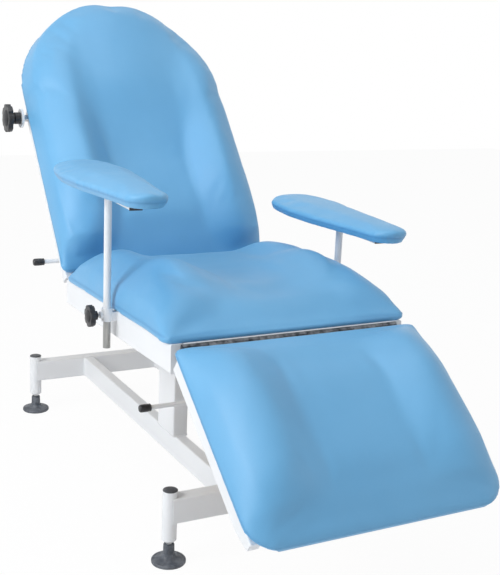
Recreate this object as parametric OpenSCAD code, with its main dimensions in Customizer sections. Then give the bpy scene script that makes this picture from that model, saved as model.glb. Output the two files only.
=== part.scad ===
/* [Base] */
// Height of the rectangular base tubes
base_tube_h = 60; // [50:1:80]
// Width of the front and rear cross beams
cross_tube_w = 40; // [30:1:50]
// Width of the two long beams
long_tube_w = 30; // [20:1:36]
// Wall of the base tubes and columns
base_wall = 2; // [1.5:0.5:4]
// Height of the beam tops above the floor
beam_top = 160; // [140:1:200]
// Distance between the centres of the left and right feet
foot_span = 570; // [500:1:700]
// Distance between the centres of the front and rear cross beams
beam_span = 1042; // [950:1:1200]
// Distance between the centres of the two long beams
long_span = 238; // [180:1:300]
// Distance from the front cross beam back to the centre of the columns
column_setback = 369; // [330:1:420]
// Width of a column, across the chair
column_w = 40; // [30:1:50]
// Depth of a column, along the chair
column_d = 100; // [80:1:120]
// Height of the brace between the columns, to its centre
brace_z = 255; // [230:1:300]
// Side of the square brace tube
brace_side = 30; // [25:1:40]

/* [Feet] */
// Outer diameter of the upright leg tubes
leg_tube_d = 34; // [30:1:38]
// Wall of the leg tubes
leg_wall = 2; // [1.5:0.5:3]
// Height of the lower end of a leg tube above the floor
leg_tube_low = 53; // [45:1:60]
// How far a leg tube stands above the beams
leg_tube_rise = 15; // [8:1:30]
// Height of the domed cap on a leg tube
cap_dome_h = 4; // [2:0.5:8]
// Diameter of a foot disc
foot_disc_d = 79; // [60:1:90]
// Thickness of a foot disc at its rim
foot_rim_h = 9; // [6:0.5:14]
// Height of the raised hub on a foot disc
foot_hub_h = 21; // [12:1:24]
// Diameter of the hub at its top
foot_hub_d = 24; // [18:1:30]
// Diameter of the threaded stem
foot_stem_d = 12; // [8:1:16]
// Travel of a foot out of its leg tube
foot_travel = 15; // [5:1:25]

/* [Seat frame] */
// Width over the seat rails
seat_w = 600; // [520:1:680]
// Length of the seat rails
seat_l = 706; // [620:1:760]
// Height of the top of the rails at the middle of the seat
seat_z = 509.5; // [470:0.5:560]
// Slope of the seat, down to the rear
seat_tilt = 1.6; // [0:0.1:4]
// Distance from the columns forward to the middle of the seat
seat_forward = 32; // [0:1:60]
// Height of the seat rails
seat_rail_h = 66; // [60:1:80]
// Width of the seat rails
seat_rail_w = 30; // [25:1:40]
// Wall of the seat, back and leg rest tubes
frame_wall = 2; // [1.5:0.5:3]
// Height of the front and rear members
seat_member_h = 30; // [24:1:34]
// Width of the front and rear members
seat_member_w = 30; // [25:1:40]
// Height of the saddle tube over the columns
saddle_h = 40; // [30:1:40]
// Depth of the saddle tube below the rail tops
saddle_drop = 22; // [16:1:24]

/* [Hinges] */
// Distance from the side of the seat frame to the end of a hinge
hinge_inset = 22; // [20:1:60]
// Number of knuckles on a hinge
hinge_knuckles = 9; // [5:2:13]
// Outer diameter of a knuckle
knuckle_d = 12; // [10:0.5:16]
// Diameter of the hinge pins
hinge_pin_d = 6; // [5:0.5:8]
// Thickness of the hinge leaves
leaf_t = 3; // [2:0.5:3]
// Width of a leaf from its knuckles to its free edge
leaf_w = 34; // [24:1:36]
// Gap between two knuckles
knuckle_gap = 0.5; // [0.3:0.1:1]

/* [Back rest] */
// Angle of the back rest above the seat frame
back_angle = 51.5; // [0:0.5:70]
// Length of the back rails
back_rail_l = 560; // [480:1:620]
// Depth of the back rails
back_rail_h = 30; // [25:1:40]
// Width of the back rails
back_rail_w = 30; // [20:1:40]
// Distance from the hinge to the lower end of the back rails
back_rail_start = 8; // [7:1:20]
// Length of the back pad, from the hinge to its top
back_pad_l = 912; // [800:1:960]
// Distance from the back hinge along the rails to the spring's pivot
back_arm_along = 20; // [10:1:30]
// Distance of the spring's pivot behind the back hinge
back_arm_drop = 90; // [80:1:100]

/* [Leg rest] */
// Angle of the leg rest below the seat frame
leg_angle = 38; // [0:0.5:48]
// Length of the leg rest from the hinge to the end of the rails
leg_rail_end = 470; // [400:1:520]
// Distance from the hinge to the start of the leg rails
leg_rail_start = 34; // [34:1:44]
// Depth of the leg rails
leg_rail_h = 40; // [30:1:40]
// Width of the leg rails
leg_rail_w = 25; // [20:1:30]
// Length of the leg pad, from the hinge to its foot end
leg_pad_l = 503; // [440:1:560]
// Distance from the leg hinge along the rails to the spring's pivot
leg_arm_along = 180; // [150:1:220]
// Distance of the spring's pivot below the leg hinge
leg_arm_drop = 50; // [45:1:60]

/* [Pads] */
// Distance that the back and leg pads stand out past the frame on each side
pad_side = 13; // [4:0.5:16]
// Distance that the seat pad stands out past the seat frame on each side
seat_pad_side = 9; // [4:0.5:9]
// Height of a pad along its rim
pad_rim_h = 22; // [16:1:30]
// Height of the middle of the seat pad
seat_crown_h = 62; // [40:1:80]
// Height of the thigh mounds above the middle of the seat pad
seat_bolster_h = 46; // [10:1:60]
// Height of the middle of the back pad
back_crown_h = 62; // [40:1:80]
// Height of the side bolsters above the middle of the back pad
back_bolster_h = 42; // [10:1:55]
// Height of the middle of the leg pad
leg_crown_h = 54; // [36:1:70]
// Height of the side bolsters above the middle of the leg pad
leg_bolster_h = 30; // [10:1:45]
// How far the seat pad reaches past the front of its rails
seat_pad_over = 2; // [0:0.5:4]
// Distance of the seat pad's rear end from the rear of its rails
seat_pad_short = 16; // [12:1:30]
// Distance of the back pad's lower end from the back hinge
back_start = 22; // [20:1:40]
// Distance of the leg pad's upper end from the leg hinge
leg_start = 8; // [7:1:20]
// Thickness of the plywood boards under the pads
board_t = 12; // [9:1:15]
// How far the pads wrap over the edge of their boards
board_wrap = 16; // [12:1:24]

/* [Armrests] */
// Distance of a post's centre from the side of the seat rail
post_offset = 23; // [21:1:35]
// Distance of the posts behind the middle of the seat
post_back = -24; // [-80:1:80]
// Diameter of the posts
post_d = 18; // [16:1:22]
// Wall of the posts
post_wall = 2.5; // [2:0.5:4]
// Length of a post
post_l = 368; // [320:1:420]
// Height of the lower end of the left post above the floor
left_post_z = 420; // [360:1:440]
// How much lower the right armrest is set
right_drop = 108; // [0:1:130]
// Outer diameter of a socket
socket_d = 27; // [24:1:34]
// Length of a socket
socket_l = 31; // [24:1:44]
// Height of the sockets' tops above the rail tops
socket_rise = 8; // [0:1:12]
// Length of an armrest pad behind its post
arm_rear_l = 292; // [240:1:320]
// Length of an armrest pad in front of its post
arm_front_l = 278; // [220:1:320]
// Greatest width of an armrest pad
arm_w = 184; // [140:1:200]
// Thickness of an armrest pad
arm_t = 29; // [22:1:40]
// How far the armrest pads are set in from their posts
arm_inset = 8; // [0:1:20]
// Turn of the left armrest on its post
left_arm_turn = -3; // [-30:0.5:30]
// Turn of the right armrest on its post
right_arm_turn = -3; // [-30:0.5:30]
// Height of the bar under an armrest pad
arm_bar_h = 15; // [12:1:20]
// Width of the bar under an armrest pad
arm_bar_w = 30; // [25:1:40]
// Length of the bar under an armrest pad
arm_bar_l = 400; // [300:1:460]

/* [Knobs and levers] */
// Diameter of the star knobs on the sockets
clamp_knob_d = 52; // [40:1:60]
// Thickness of the star knobs on the sockets
clamp_knob_t = 14; // [10:1:18]
// Diameter of the clamp screws
clamp_screw_d = 8; // [6:1:10]
// Travel of the clamp screws
clamp_travel = 3; // [2:0.5:4]
// Diameter of the accessory knob
accessory_knob_d = 80; // [60:1:90]
// Thickness of the accessory knob
accessory_knob_t = 16; // [12:1:22]
// Travel of the accessory knob and its washer towards the rail
accessory_travel = 5; // [3:1:10]
// Diameter of the accessory stub
stub_d = 20; // [16:1:24]
// Distance of the accessory stub from the back hinge, along the rail
stub_along = 541; // [480:1:550]
// Diameter of the white clamping washer
washer_d = 54; // [40:1:60]
// Thickness of the white clamping washer
washer_t = 6; // [4:1:10]
// Gap between the clamping washer and the rail
washer_gap = 18; // [12:1:24]
// Diameter of the lever rods
lever_d = 12; // [10:1:14]
// Diameter of the lever grips
grip_d = 20; // [16:1:24]
// Length of the lever grips
grip_l = 30; // [24:1:40]

/* [Gas springs] */
// Outer diameter of a spring's cylinder
spring_d = 28; // [22:1:32]
// Diameter of a spring's rod
spring_rod_d = 10; // [8:1:14]
// Diameter of the pivot pins of the springs
spring_pin_d = 8; // [6:1:10]
// Length of the back spring's cylinder
back_cylinder_l = 200; // [170:1:240]
// Length of the leg spring's cylinder
leg_cylinder_l = 270; // [230:1:320]
// Distance of the leg spring's lower pivot in front of the brace
leg_spring_ahead = 42; // [36:1:60]
// Distance of the leg spring's lower pivot below the middle of the brace
leg_spring_below = 15; // [8:1:20]
// Distance of the back spring's lower pivot behind the middle of the saddle
back_spring_behind = 48; // [30:1:60]
// Distance of the back spring's lower pivot below the rail tops
back_spring_below = 109.5; // [100:0.5:120]

/* [Hidden] */
$fn = 48;

// Clearances and small common sizes
run_clear = 0.05;
soft_clear = 0.3;
seat_clear = 0.1;
cut_over = 1;
tube_r = 4;
vent_d = 5;
fit_gap = 1;
far = 1200;

// Colours
powder_white = [0.93, 0.94, 0.95];
vinyl_blue = [0.42, 0.66, 0.85];
knob_black = [0.10, 0.11, 0.13];
foot_grey = [0.27, 0.30, 0.34];
zinc = [0.66, 0.67, 0.68];
plywood = [0.78, 0.66, 0.48];
spring_black = [0.14, 0.14, 0.15];

// Places along the chair, from the middle of the seat, the front being towards -Y
column_y = seat_forward;
front_beam_y = column_y - column_setback;
rear_beam_y = front_beam_y + beam_span;
column_x = long_span / 2;
foot_x = foot_span / 2;
rail_x = seat_w / 2 - seat_rail_w / 2;
pad_w = seat_w + 2 * pad_side;
seat_pad_w = seat_w + 2 * seat_pad_side;
hinge_l = seat_w - 2 * hinge_inset;
knuckle_r = knuckle_d / 2;
seat_face = knuckle_r + knuckle_gap;
pin_y = seat_l / 2 + seat_face;
pin_z = -knuckle_r;
post_x = seat_w / 2 + post_offset;
post_y = post_back;
brace_y = column_y - column_d / 2 + brace_side;

// A point of the tilted seat frame, seen from the side as [y, z]
function seat_point(y, z) =
    [y * cos(seat_tilt) + z * sin(seat_tilt), seat_z - y * sin(seat_tilt) + z * cos(seat_tilt)];
function turned(p, a) = [p[0] * cos(a) - p[1] * sin(a), p[0] * sin(a) + p[1] * cos(a)];
front_pin = seat_point(-pin_y, pin_z);
rear_pin = seat_point(pin_y, pin_z);
back_lean = back_angle - seat_tilt;
leg_drop = leg_angle - seat_tilt;
function back_point(along, w) = rear_pin + turned([along, w], back_lean);
function leg_point(along, w) = front_pin + turned([-along, w], leg_drop);

// The origin lies under the middle of the chair's outline on the floor
front_reach = leg_point(leg_pad_l, knuckle_r + pad_rim_h)[0];
rear_reach = back_point(back_pad_l, knuckle_r + soft_clear)[0];
plan_shift = -(front_reach + rear_reach) / 2;

module in_plan() {
    translate([side_shift, plan_shift, 0]) children();
}
module on_seat() {
    in_plan() translate([0, 0, seat_z]) rotate([-seat_tilt, 0, 0]) children();
}
module on_back() {
    on_seat() translate([0, pin_y, pin_z]) rotate([back_angle, 0, 0]) children();
}
module on_leg() {
    on_seat() translate([0, -pin_y, pin_z]) rotate([leg_angle, 0, 0]) children();
}
module both_sides() {
    children();
    mirror([1, 0, 0]) children();
}

// Rectangular tube: w across X, h along Y, standing along Z
module round_rect(w, h, r) {
    square([w - 2 * r, h], center = true);
    square([w, h - 2 * r], center = true);
    for (x = [-1, 1], y = [-1, 1]) {
        translate([x * (w / 2 - r), y * (h / 2 - r)]) circle(r);
    }
}
module open_tube(w, h, l, wall) {
    linear_extrude(l) difference() {
        round_rect(w, h, tube_r);
        square([w - 2 * wall, h - 2 * wall], center = true);
    }
}
// A tube with welded ends and one vent hole in its -Y side
module closed_tube(w, h, l, wall) {
    difference() {
        linear_extrude(l) round_rect(w, h, tube_r);
        translate([0, 0, l / 2]) cube([w - 2 * wall, h - 2 * wall, l - 2 * wall], center = true);
        translate([0, -h / 2, l / 2]) rotate([90, 0, 0])
            cylinder(d = vent_d, h = 2 * wall + cut_over, center = true);
    }
}
// The same tubes laid across X or along Y, their start at the given place, h being upright
module along_x(x, y, z) {
    translate([x, y, z]) rotate([90, 0, 90]) children();
}
module along_y(x, y, z) {
    translate([x, y, z]) rotate([90, 0, 180]) children();
}
module rod_x(x0, x1, d) {
    translate([x0, 0, 0]) rotate([0, 90, 0]) cylinder(d = d, h = x1 - x0);
}
module rod_y(y0, y1, d) {
    translate([0, y0, 0]) rotate([-90, 0, 0]) cylinder(d = d, h = y1 - y0);
}

/* Base */
beam_z = beam_top - base_tube_h / 2;
leg_top = beam_top + leg_tube_rise;
module cross_beam(y) {
    in_plan() difference() {
        along_x(-foot_x, y, beam_z) open_tube(cross_tube_w, base_tube_h, foot_span, base_wall);
        for (x = [-foot_x, foot_x]) {
            translate([x, y, 0]) cylinder(d = leg_tube_d, h = leg_top);
        }
    }
}
module front_beam() {
    color(powder_white) cross_beam(front_beam_y);
}
module rear_beam() {
    color(powder_white) cross_beam(rear_beam_y);
}
module long_beam(side) {
    color(powder_white) in_plan() along_y(side * column_x, front_beam_y + cross_tube_w / 2, beam_z)
        open_tube(long_tube_w, base_tube_h, beam_span - cross_tube_w, base_wall);
}
module left_long_beam() {
    long_beam(-1);
}
module right_long_beam() {
    long_beam(1);
}

// Columns, cut off along the underside of the tilted saddle tube
saddle_under = -saddle_drop - saddle_h;
saddle_y = column_y * cos(seat_tilt) - saddle_under * sin(seat_tilt);
column_l = seat_z - beam_top;
module above_saddle() {
    on_seat() translate([-far / 2, -far / 2, saddle_under]) cube(far);
}
module column(side) {
    color(powder_white) difference() {
        in_plan() translate([side * column_x, column_y, beam_top]) difference() {
            linear_extrude(column_l) round_rect(column_w, column_d, tube_r);
            translate([0, 0, base_wall]) linear_extrude(column_l)
                square([column_w - 2 * base_wall, column_d - 2 * base_wall], center = true);
        }
        above_saddle();
    }
}
module left_column() {
    column(-1);
}
module right_column() {
    column(1);
}

// Spring pivots: an ear is a round-ended plate, seen from the side, on each side of a spring's eye
ear_t = 5;
ear_r = 12;
eye_w = 14;
ear_x = eye_w / 2 + fit_gap;
module ears(outline_y0, outline_z0, outline_y1, outline_z1) {
    both_sides() translate([ear_x, 0, 0]) rotate([90, 0, 90]) linear_extrude(ear_t) difference() {
        union() {
            circle(r = ear_r);
            translate([outline_y0, outline_z0]) square([outline_y1 - outline_y0, outline_z1 - outline_z0]);
        }
        circle(d = spring_pin_d + 2 * run_clear);
    }
}
module pivot_pin() {
    pin_half = ear_x + ear_t + fit_gap;
    head_t = 2;
    rod_x(-pin_half, pin_half, spring_pin_d);
    both_sides() rod_x(pin_half - fit_gap / 2, pin_half + head_t, spring_pin_d + 2 * head_t);
}
leg_spring_foot = [brace_y - brace_side / 2 - leg_spring_ahead, brace_z - leg_spring_below];
back_spring_foot = [column_y + back_spring_behind, seat_z - back_spring_below];
lever_plate_t = 4;
lever_eye_w = lever_d;
lever_plate_l = 26;
lever_pin_d = 6;
lever_eye_d = 18;
leg_lever_y = leg_spring_foot[0] + fit_gap;
leg_lever_rise = 4;
leg_lever_z = brace_z + leg_lever_rise;
lever_pivot_x = 30;
leg_lever_reach = 244;
back_lever_reach = 369;
back_lever_along = 80;
module spring_brace() {
    reach = brace_y - brace_side / 2 - leg_spring_foot[0];
    color(powder_white) in_plan() {
        along_x(-column_x + column_w / 2, brace_y, brace_z)
            open_tube(brace_side, brace_side, long_span - column_w, base_wall);
        translate([0, leg_spring_foot[0], leg_spring_foot[1]]) ears(0, -ear_r, reach, ear_r);
        translate([-ear_x - ear_t - lever_plate_l, leg_lever_y + lever_eye_w / 2 + fit_gap,
            brace_z - lever_plate_l / 2])
            cube([lever_plate_l + fit_gap, lever_plate_t, lever_plate_l]);
        translate([-lever_pivot_x, leg_lever_y, leg_lever_z]) lever_pin();
    }
}
// The pin of a lever, along Y from its plate through the lever's eye to a head
module lever_pin() {
    head_t = 2;
    eye_end = lever_eye_w / 2 + run_clear;
    rod_y(-eye_end, lever_d / 2 + fit_gap, lever_pin_d);
    rod_y(-eye_end - head_t, -eye_end, lever_pin_d + 2 * head_t);
}

// Leg tubes with a threaded bush welded into the lower end, and their caps
bush_h = 12;
leg_edge_r = 4;
module at_feet() {
    for (x = [-foot_x, foot_x], y = [front_beam_y, rear_beam_y]) {
        in_plan() translate([x, y, 0]) children();
    }
}
module leg_tubes() {
    color(powder_white) at_feet() difference() {
        union() {
            translate([0, 0, leg_tube_low + leg_edge_r])
                cylinder(d = leg_tube_d, h = leg_top - leg_tube_low - leg_edge_r);
            translate([0, 0, leg_tube_low])
                cylinder(d1 = leg_tube_d - 2 * leg_edge_r, d2 = leg_tube_d, h = leg_edge_r);
        }
        translate([0, 0, leg_tube_low + bush_h]) cylinder(d = leg_tube_d - 2 * leg_wall, h = far);
        translate([0, 0, leg_tube_low - cut_over]) cylinder(d = foot_stem_d + 2 * run_clear, h = far);
    }
}
cap_plug_h = 12;
module leg_caps() {
    dome_d = leg_tube_d - 3 * cap_dome_h;
    color(foot_grey) at_feet() translate([0, 0, leg_top]) {
        translate([0, 0, -cap_plug_h])
            cylinder(d = leg_tube_d - 2 * leg_wall - 2 * seat_clear, h = cap_plug_h);
        cylinder(d = leg_tube_d, h = cap_dome_h / 2);
        translate([0, 0, cap_dome_h / 2]) cylinder(d1 = leg_tube_d, d2 = dome_d, h = cap_dome_h / 2);
    }
}

// A foot: disc, cone hub and threaded stem, turned as one
foot_top_share = 0.62;
foot_edge = 2;
module foot(x, y) {
    r = foot_disc_d / 2;
    hub_z = foot_rim_h + foot_hub_h;
    stem_top = leg_tube_low + bush_h + foot_travel + foot_stem_d;
    color(foot_grey) in_plan() translate([x, y, 0]) rotate_extrude() polygon([
        [0, 0], [r - foot_edge, 0], [r, foot_edge], [r, foot_rim_h - foot_edge],
        [r - foot_edge, foot_rim_h], [r * foot_top_share, foot_rim_h + foot_edge],
        [foot_hub_d / 2, hub_z - foot_edge], [foot_hub_d / 2 - foot_edge, hub_z],
        [foot_stem_d / 2, hub_z], [foot_stem_d / 2, stem_top], [0, stem_top]
    ]);
}
module front_left_foot() {
    foot(-foot_x, front_beam_y);
}
module front_right_foot() {
    foot(foot_x, front_beam_y);
}
module rear_left_foot() {
    foot(-foot_x, rear_beam_y);
}
module rear_right_foot() {
    foot(foot_x, rear_beam_y);
}

/* Seat frame */
rails_inner_w = seat_w - 2 * seat_rail_w;
module saddle_tube() {
    foot_on_seat = turned([back_spring_foot[0], back_spring_foot[1] - seat_z], seat_tilt);
    color(powder_white) on_seat() {
        along_x(-rails_inner_w / 2, saddle_y, saddle_under + saddle_h / 2)
            open_tube(column_d, saddle_h, rails_inner_w, frame_wall);
        translate([0, foot_on_seat[0], foot_on_seat[1]])
            ears(-ear_r, 0, ear_r, saddle_under - foot_on_seat[1] + frame_wall / 2);
    }
}
module seat_rail(side) {
    color(powder_white) on_seat() along_y(side * rail_x, -seat_l / 2, -seat_rail_h / 2)
        closed_tube(seat_rail_w, seat_rail_h, seat_l, frame_wall);
}
module seat_left_rail() {
    seat_rail(-1);
}
module seat_right_rail() {
    seat_rail(1);
}
module seat_member(y) {
    color(powder_white) on_seat() along_x(-rails_inner_w / 2, y, -seat_member_h / 2)
        open_tube(seat_member_w, seat_member_h, rails_inner_w, frame_wall);
}
module seat_front_member() {
    seat_member(-seat_l / 2 + seat_member_w / 2);
}
module seat_rear_member() {
    seat_member(seat_l / 2 - seat_member_w / 2);
}

// Hinges: the knuckles of one leaf fill every second place along the pin
knuckle_pitch = hinge_l / hinge_knuckles;
knuckle_l = knuckle_pitch - knuckle_gap;
module knuckles(first) {
    for (i = [first:2:hinge_knuckles - 1]) {
        translate([-hinge_l / 2 + i * knuckle_pitch + knuckle_gap / 2, 0, 0]) difference() {
            union() {
                rod_x(0, knuckle_l, knuckle_d);
                children();
            }
            rod_x(-cut_over, knuckle_l + cut_over, hinge_pin_d + 2 * run_clear);
        }
    }
}
leaf_free = knuckle_r + knuckle_gap;
seat_leaf_h = seat_member_h - knuckle_r - fit_gap;
// The seat's leaf stands on the face of a member, which looks towards -Y here
module seat_leaf() {
    knuckles(0) translate([0, seat_face - leaf_t, -leaf_free]) cube([knuckle_l, leaf_t, leaf_free]);
    translate([-hinge_l / 2, seat_face - leaf_t, -seat_leaf_h])
        cube([hinge_l, leaf_t, seat_leaf_h - leaf_free]);
}
// The leaf of a moving frame lies on top of its member, which runs towards -Y here, between its rails
module moving_leaf(reach, rail_w) {
    w = seat_w - 2 * rail_w - 2 * fit_gap;
    knuckles(1) translate([0, -leaf_free, knuckle_r - leaf_t]) cube([knuckle_l, leaf_free, leaf_t]);
    translate([-w / 2, -reach, knuckle_r - leaf_t]) cube([w, reach - leaf_free, leaf_t]);
}
module seat_front_leaf() {
    color(zinc) on_seat() translate([0, -pin_y, pin_z]) seat_leaf();
}
module seat_rear_leaf() {
    color(zinc) on_seat() translate([0, pin_y, pin_z]) rotate([0, 0, 180]) seat_leaf();
}
module hinge_pins() {
    color(zinc) {
        for (y = [-pin_y, pin_y]) {
            on_seat() translate([0, y, pin_z]) rod_x(-hinge_l / 2, hinge_l / 2, hinge_pin_d);
        }
        in_plan() translate([0, leg_spring_foot[0], leg_spring_foot[1]]) pivot_pin();
        in_plan() translate([0, back_spring_foot[0], back_spring_foot[1]]) pivot_pin();
    }
}

// Sockets of the armrest posts: a collar, a boss for the clamp screw and a web to the rail
boss_d = 17;
boss_l = 5;
rail_top_z = seat_point(post_y, 0)[1];
socket_top = rail_top_z + socket_rise;
clamp_z = socket_top - socket_l / 2;
web_w = 16;
web_h = socket_l - socket_rise - fit_gap;
module socket(side) {
    color(powder_white) in_plan() translate([side * post_x, post_y, 0])
        mirror([side < 0 ? 1 : 0, 0, 0]) difference() {
        union() {
            translate([0, 0, socket_top - socket_l]) cylinder(d = socket_d, h = socket_l);
            translate([0, 0, clamp_z]) rod_x(0, socket_d / 2 + boss_l, boss_d);
            translate([-post_offset, -web_w / 2, socket_top - socket_l]) cube([post_offset, web_w, web_h]);
        }
        translate([0, 0, socket_top - far / 2]) cylinder(d = post_d + 2 * run_clear, h = far);
        translate([0, 0, clamp_z]) rod_x(0, far, clamp_screw_d + 2 * run_clear);
    }
}
module left_socket() {
    socket(-1);
}
module right_socket() {
    socket(1);
}

/* Boards and pads */
// Plan of a board: a rectangle along Y whose corners are rounded at both ends
module plan_outline(half, start, end, start_r, end_r) {
    difference() {
        translate([-half, start]) square([2 * half, end - start]);
        both_sides() translate([half, start]) corner_cut(start_r);
        both_sides() translate([half, end]) mirror([0, 1]) corner_cut(end_r);
    }
}
module corner_cut(r) {
    difference() {
        translate([-r, -cut_over]) square([r + cut_over, r + cut_over]);
        translate([-r, r]) circle(r);
    }
}
module board(half, start, end, start_r, end_r) {
    linear_extrude(board_t) plan_outline(half, start, end, start_r, end_r);
}

// Half the width of a pad at a place along it, drawn in at the rounded ends
function corner_inset(r, d) = d < r ? r - sqrt(r * r - (r - d) * (r - d)) : 0;
function half_at(a, half, start, end, start_r, end_r) =
    half - corner_inset(start_r, a - start) - corner_inset(end_r, end - a);
// Places of the sections: close together round the corners, even between them
corner_rows = 4;
foot_rows = 6;
function rows(start, end, start_r, end_r, middle_rows, last_rows) = concat(
    [for (i = [0:corner_rows - 1]) start + start_r * (1 - cos(90 * i / corner_rows))],
    [for (i = [0:middle_rows]) start + start_r + (end - end_r - start - start_r) * i / middle_rows],
    [for (i = [last_rows - 1:-1:1]) end - end_r * (1 - cos(90 * i / last_rows))]
);
// Heights above the underside rise from the rim over the crown, and fall again towards the ends
function rise(a, start, end, length) = sin(90 * min(1, (a - start) / length, (end - a) / length));
function hump(t) = pow(cos(90 * min(1, abs(t))), 2);
function ramp(t) = (1 - cos(180 * max(0, min(1, t)))) / 2;
crown_power = 5;
function crown(s) = 1 - pow(abs(s), crown_power);

// A section runs from under the right side over the top to the left side, as [x, z]
top_shares = [0.97, 0.92, 0.85, 0.76, 0.65, 0.53, 0.4, 0.25, 0.09];
draw_in = 8;
rim_round = 5;
widest_share = 0.5;
rim_share = 0.88;
function side_points(half, rim) = [
    [half - min(draw_in, half / 2), 0], [half, rim * widest_share],
    [half - rim_round / 4, rim * rim_share], [half - rim_round, rim]
];
function right_points(half, rim, shares, heights) = concat(
    side_points(half, rim),
    [for (i = [0:len(shares) - 1]) [(half - rim_round) * shares[i], heights[i]]]
);
function both_halves(points) =
    concat(points, [for (i = [len(points) - 1:-1:0]) [-points[i][0], points[i][1]]]);
// Joins sections of alike length with triangles; the ends are fans round the middle of each end section
module loft(places, sections, middle_z) {
    n = len(sections[0]);
    m = len(sections);
    points = concat(
        [for (i = [0:m - 1], p = sections[i]) [p[0], places[i], p[1]]],
        [[0, places[0], middle_z], [0, places[m - 1], middle_z]]
    );
    sides = [for (i = [0:m - 2], j = [0:n - 1])
        let (a = i * n + j, b = i * n + (j + 1) % n) each [[a, b, b + n], [a, b + n, a + n]]];
    start = [for (j = [0:n - 1]) [m * n, (j + 1) % n, j]];
    end = [for (j = [0:n - 1]) [m * n + 1, (m - 1) * n + j, (m - 1) * n + (j + 1) % n]];
    polyhedron(points, concat(sides, start, end));
}

// Heights of the large pads at a place along Y; t is the share of the half width there, s of the full one
bolster_width_share = 0.4;
seat_start = -seat_l / 2 - seat_pad_over;
seat_end = seat_l / 2 - seat_pad_short;
seat_rise_l = 100;
mound_share = 0.6;
mound_y = -110;
mound_l = 220;
seat_side_share = 0.84;
seat_side_height_share = 0.62;
function seat_bolster(s, a) = max(
    hump((abs(s) - mound_share) / bolster_width_share) * hump((a - mound_y) / mound_l),
    hump((abs(s) - seat_side_share) / bolster_width_share) * seat_side_height_share
);
function seat_height(t, s, a) = pad_rim_h + rise(a, seat_start, seat_end, seat_rise_l)
    * ((seat_crown_h - pad_rim_h) * crown(t) + seat_bolster_h * seat_bolster(s, a) * crown(t));
back_rise_l = 120;
back_bolster_l = 260;
back_shoulder_l = 330;
back_top_share = 0.86;
back_foot_share = 0.68;
function back_bolster(s, a) =
    hump((abs(s) - back_foot_share - (back_top_share - back_foot_share) * ramp(a / back_pad_l))
        / bolster_width_share)
    * ramp((a - back_start) / back_bolster_l) * ramp((back_pad_l - a) / back_shoulder_l);
function back_height(t, s, a) = pad_rim_h + rise(a, back_start, back_pad_l, back_rise_l)
    * ((back_crown_h - pad_rim_h) * crown(t) + back_bolster_h * back_bolster(s, a) * crown(t));
leg_rise_l = 90;
leg_bolster_l = 330;
leg_bolster_share = 0.74;
function leg_bolster(s, a) =
    hump((abs(s) - leg_bolster_share) / bolster_width_share) * ramp((leg_pad_l - a) / leg_bolster_l);
function leg_height(t, s, a) = pad_rim_h + rise(a, leg_start, leg_pad_l, leg_rise_l)
    * ((leg_crown_h - pad_rim_h) * crown(t) + leg_bolster_h * leg_bolster(s, a) * crown(t));

// Round corners of the pads and the rows of sections in their middles
hinge_corner_r = 18;
foot_corner_r = 70;
pad_row_l = 28;
function row_count(l) = ceil(l / pad_row_l);
module pocket(half, start, end, start_r, end_r) {
    translate([0, 0, -board_t]) linear_extrude(2 * board_t) plan_outline(half, start, end, start_r, end_r);
}
board_clear = 0.5;
wrap = board_wrap - board_clear;
module seat_board() {
    color(plywood) on_seat() board(seat_pad_w / 2 - board_wrap,
        seat_start + board_wrap, seat_end - board_wrap, hinge_corner_r, hinge_corner_r);
}
module seat_pad() {
    half = seat_pad_w / 2;
    places = rows(seat_start, seat_end, hinge_corner_r, hinge_corner_r, row_count(seat_l), corner_rows);
    color(vinyl_blue) on_seat() difference() {
        loft(places, [for (a = places)
            let (h = half_at(a, half, seat_start, seat_end, hinge_corner_r, hinge_corner_r))
            both_halves(right_points(h, pad_rim_h, top_shares,
                [for (t = top_shares) seat_height(t, t * h / half, a)]))], pad_rim_h / 2);
        pocket(half - wrap, seat_start + wrap, seat_end - wrap, hinge_corner_r, hinge_corner_r);
    }
}
back_board_r = pad_w / 2 - board_wrap;
module back_board() {
    color(plywood) on_back() translate([0, 0, knuckle_r]) board(pad_w / 2 - board_wrap,
        back_start + board_wrap, back_pad_l - board_wrap, hinge_corner_r, back_board_r);
}
back_top_rows = 13;
module back_pad() {
    half = pad_w / 2;
    places = rows(back_start, back_pad_l, hinge_corner_r, half,
        row_count(back_pad_l - half), back_top_rows);
    color(vinyl_blue) on_back() translate([0, 0, knuckle_r]) difference() {
        loft(places, [for (a = places)
            let (h = half_at(a, half, back_start, back_pad_l, hinge_corner_r, half))
            both_halves(right_points(h, pad_rim_h, top_shares,
                [for (t = top_shares) back_height(t, t * h / half, a)]))], pad_rim_h / 2);
        pocket(half - wrap, back_start + wrap, back_pad_l - wrap, hinge_corner_r, half - wrap);
    }
}
module leg_board() {
    color(plywood) on_leg() translate([0, 0, knuckle_r]) mirror([0, 1, 0]) board(pad_w / 2 - board_wrap,
        leg_start + board_wrap, leg_pad_l - board_wrap, hinge_corner_r, foot_corner_r - board_wrap);
}
module leg_pad() {
    half = pad_w / 2;
    places = rows(leg_start, leg_pad_l, hinge_corner_r, foot_corner_r, row_count(leg_pad_l), foot_rows);
    color(vinyl_blue) on_leg() translate([0, 0, knuckle_r]) mirror([0, 1, 0]) difference() {
        loft(places, [for (a = places)
            let (h = half_at(a, half, leg_start, leg_pad_l, hinge_corner_r, foot_corner_r))
            both_halves(right_points(h, pad_rim_h, top_shares,
                [for (t = top_shares) leg_height(t, t * h / half, a)]))], pad_rim_h / 2);
        pocket(half - wrap, leg_start + wrap, leg_pad_l - wrap, hinge_corner_r, foot_corner_r - wrap);
    }
}

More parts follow.
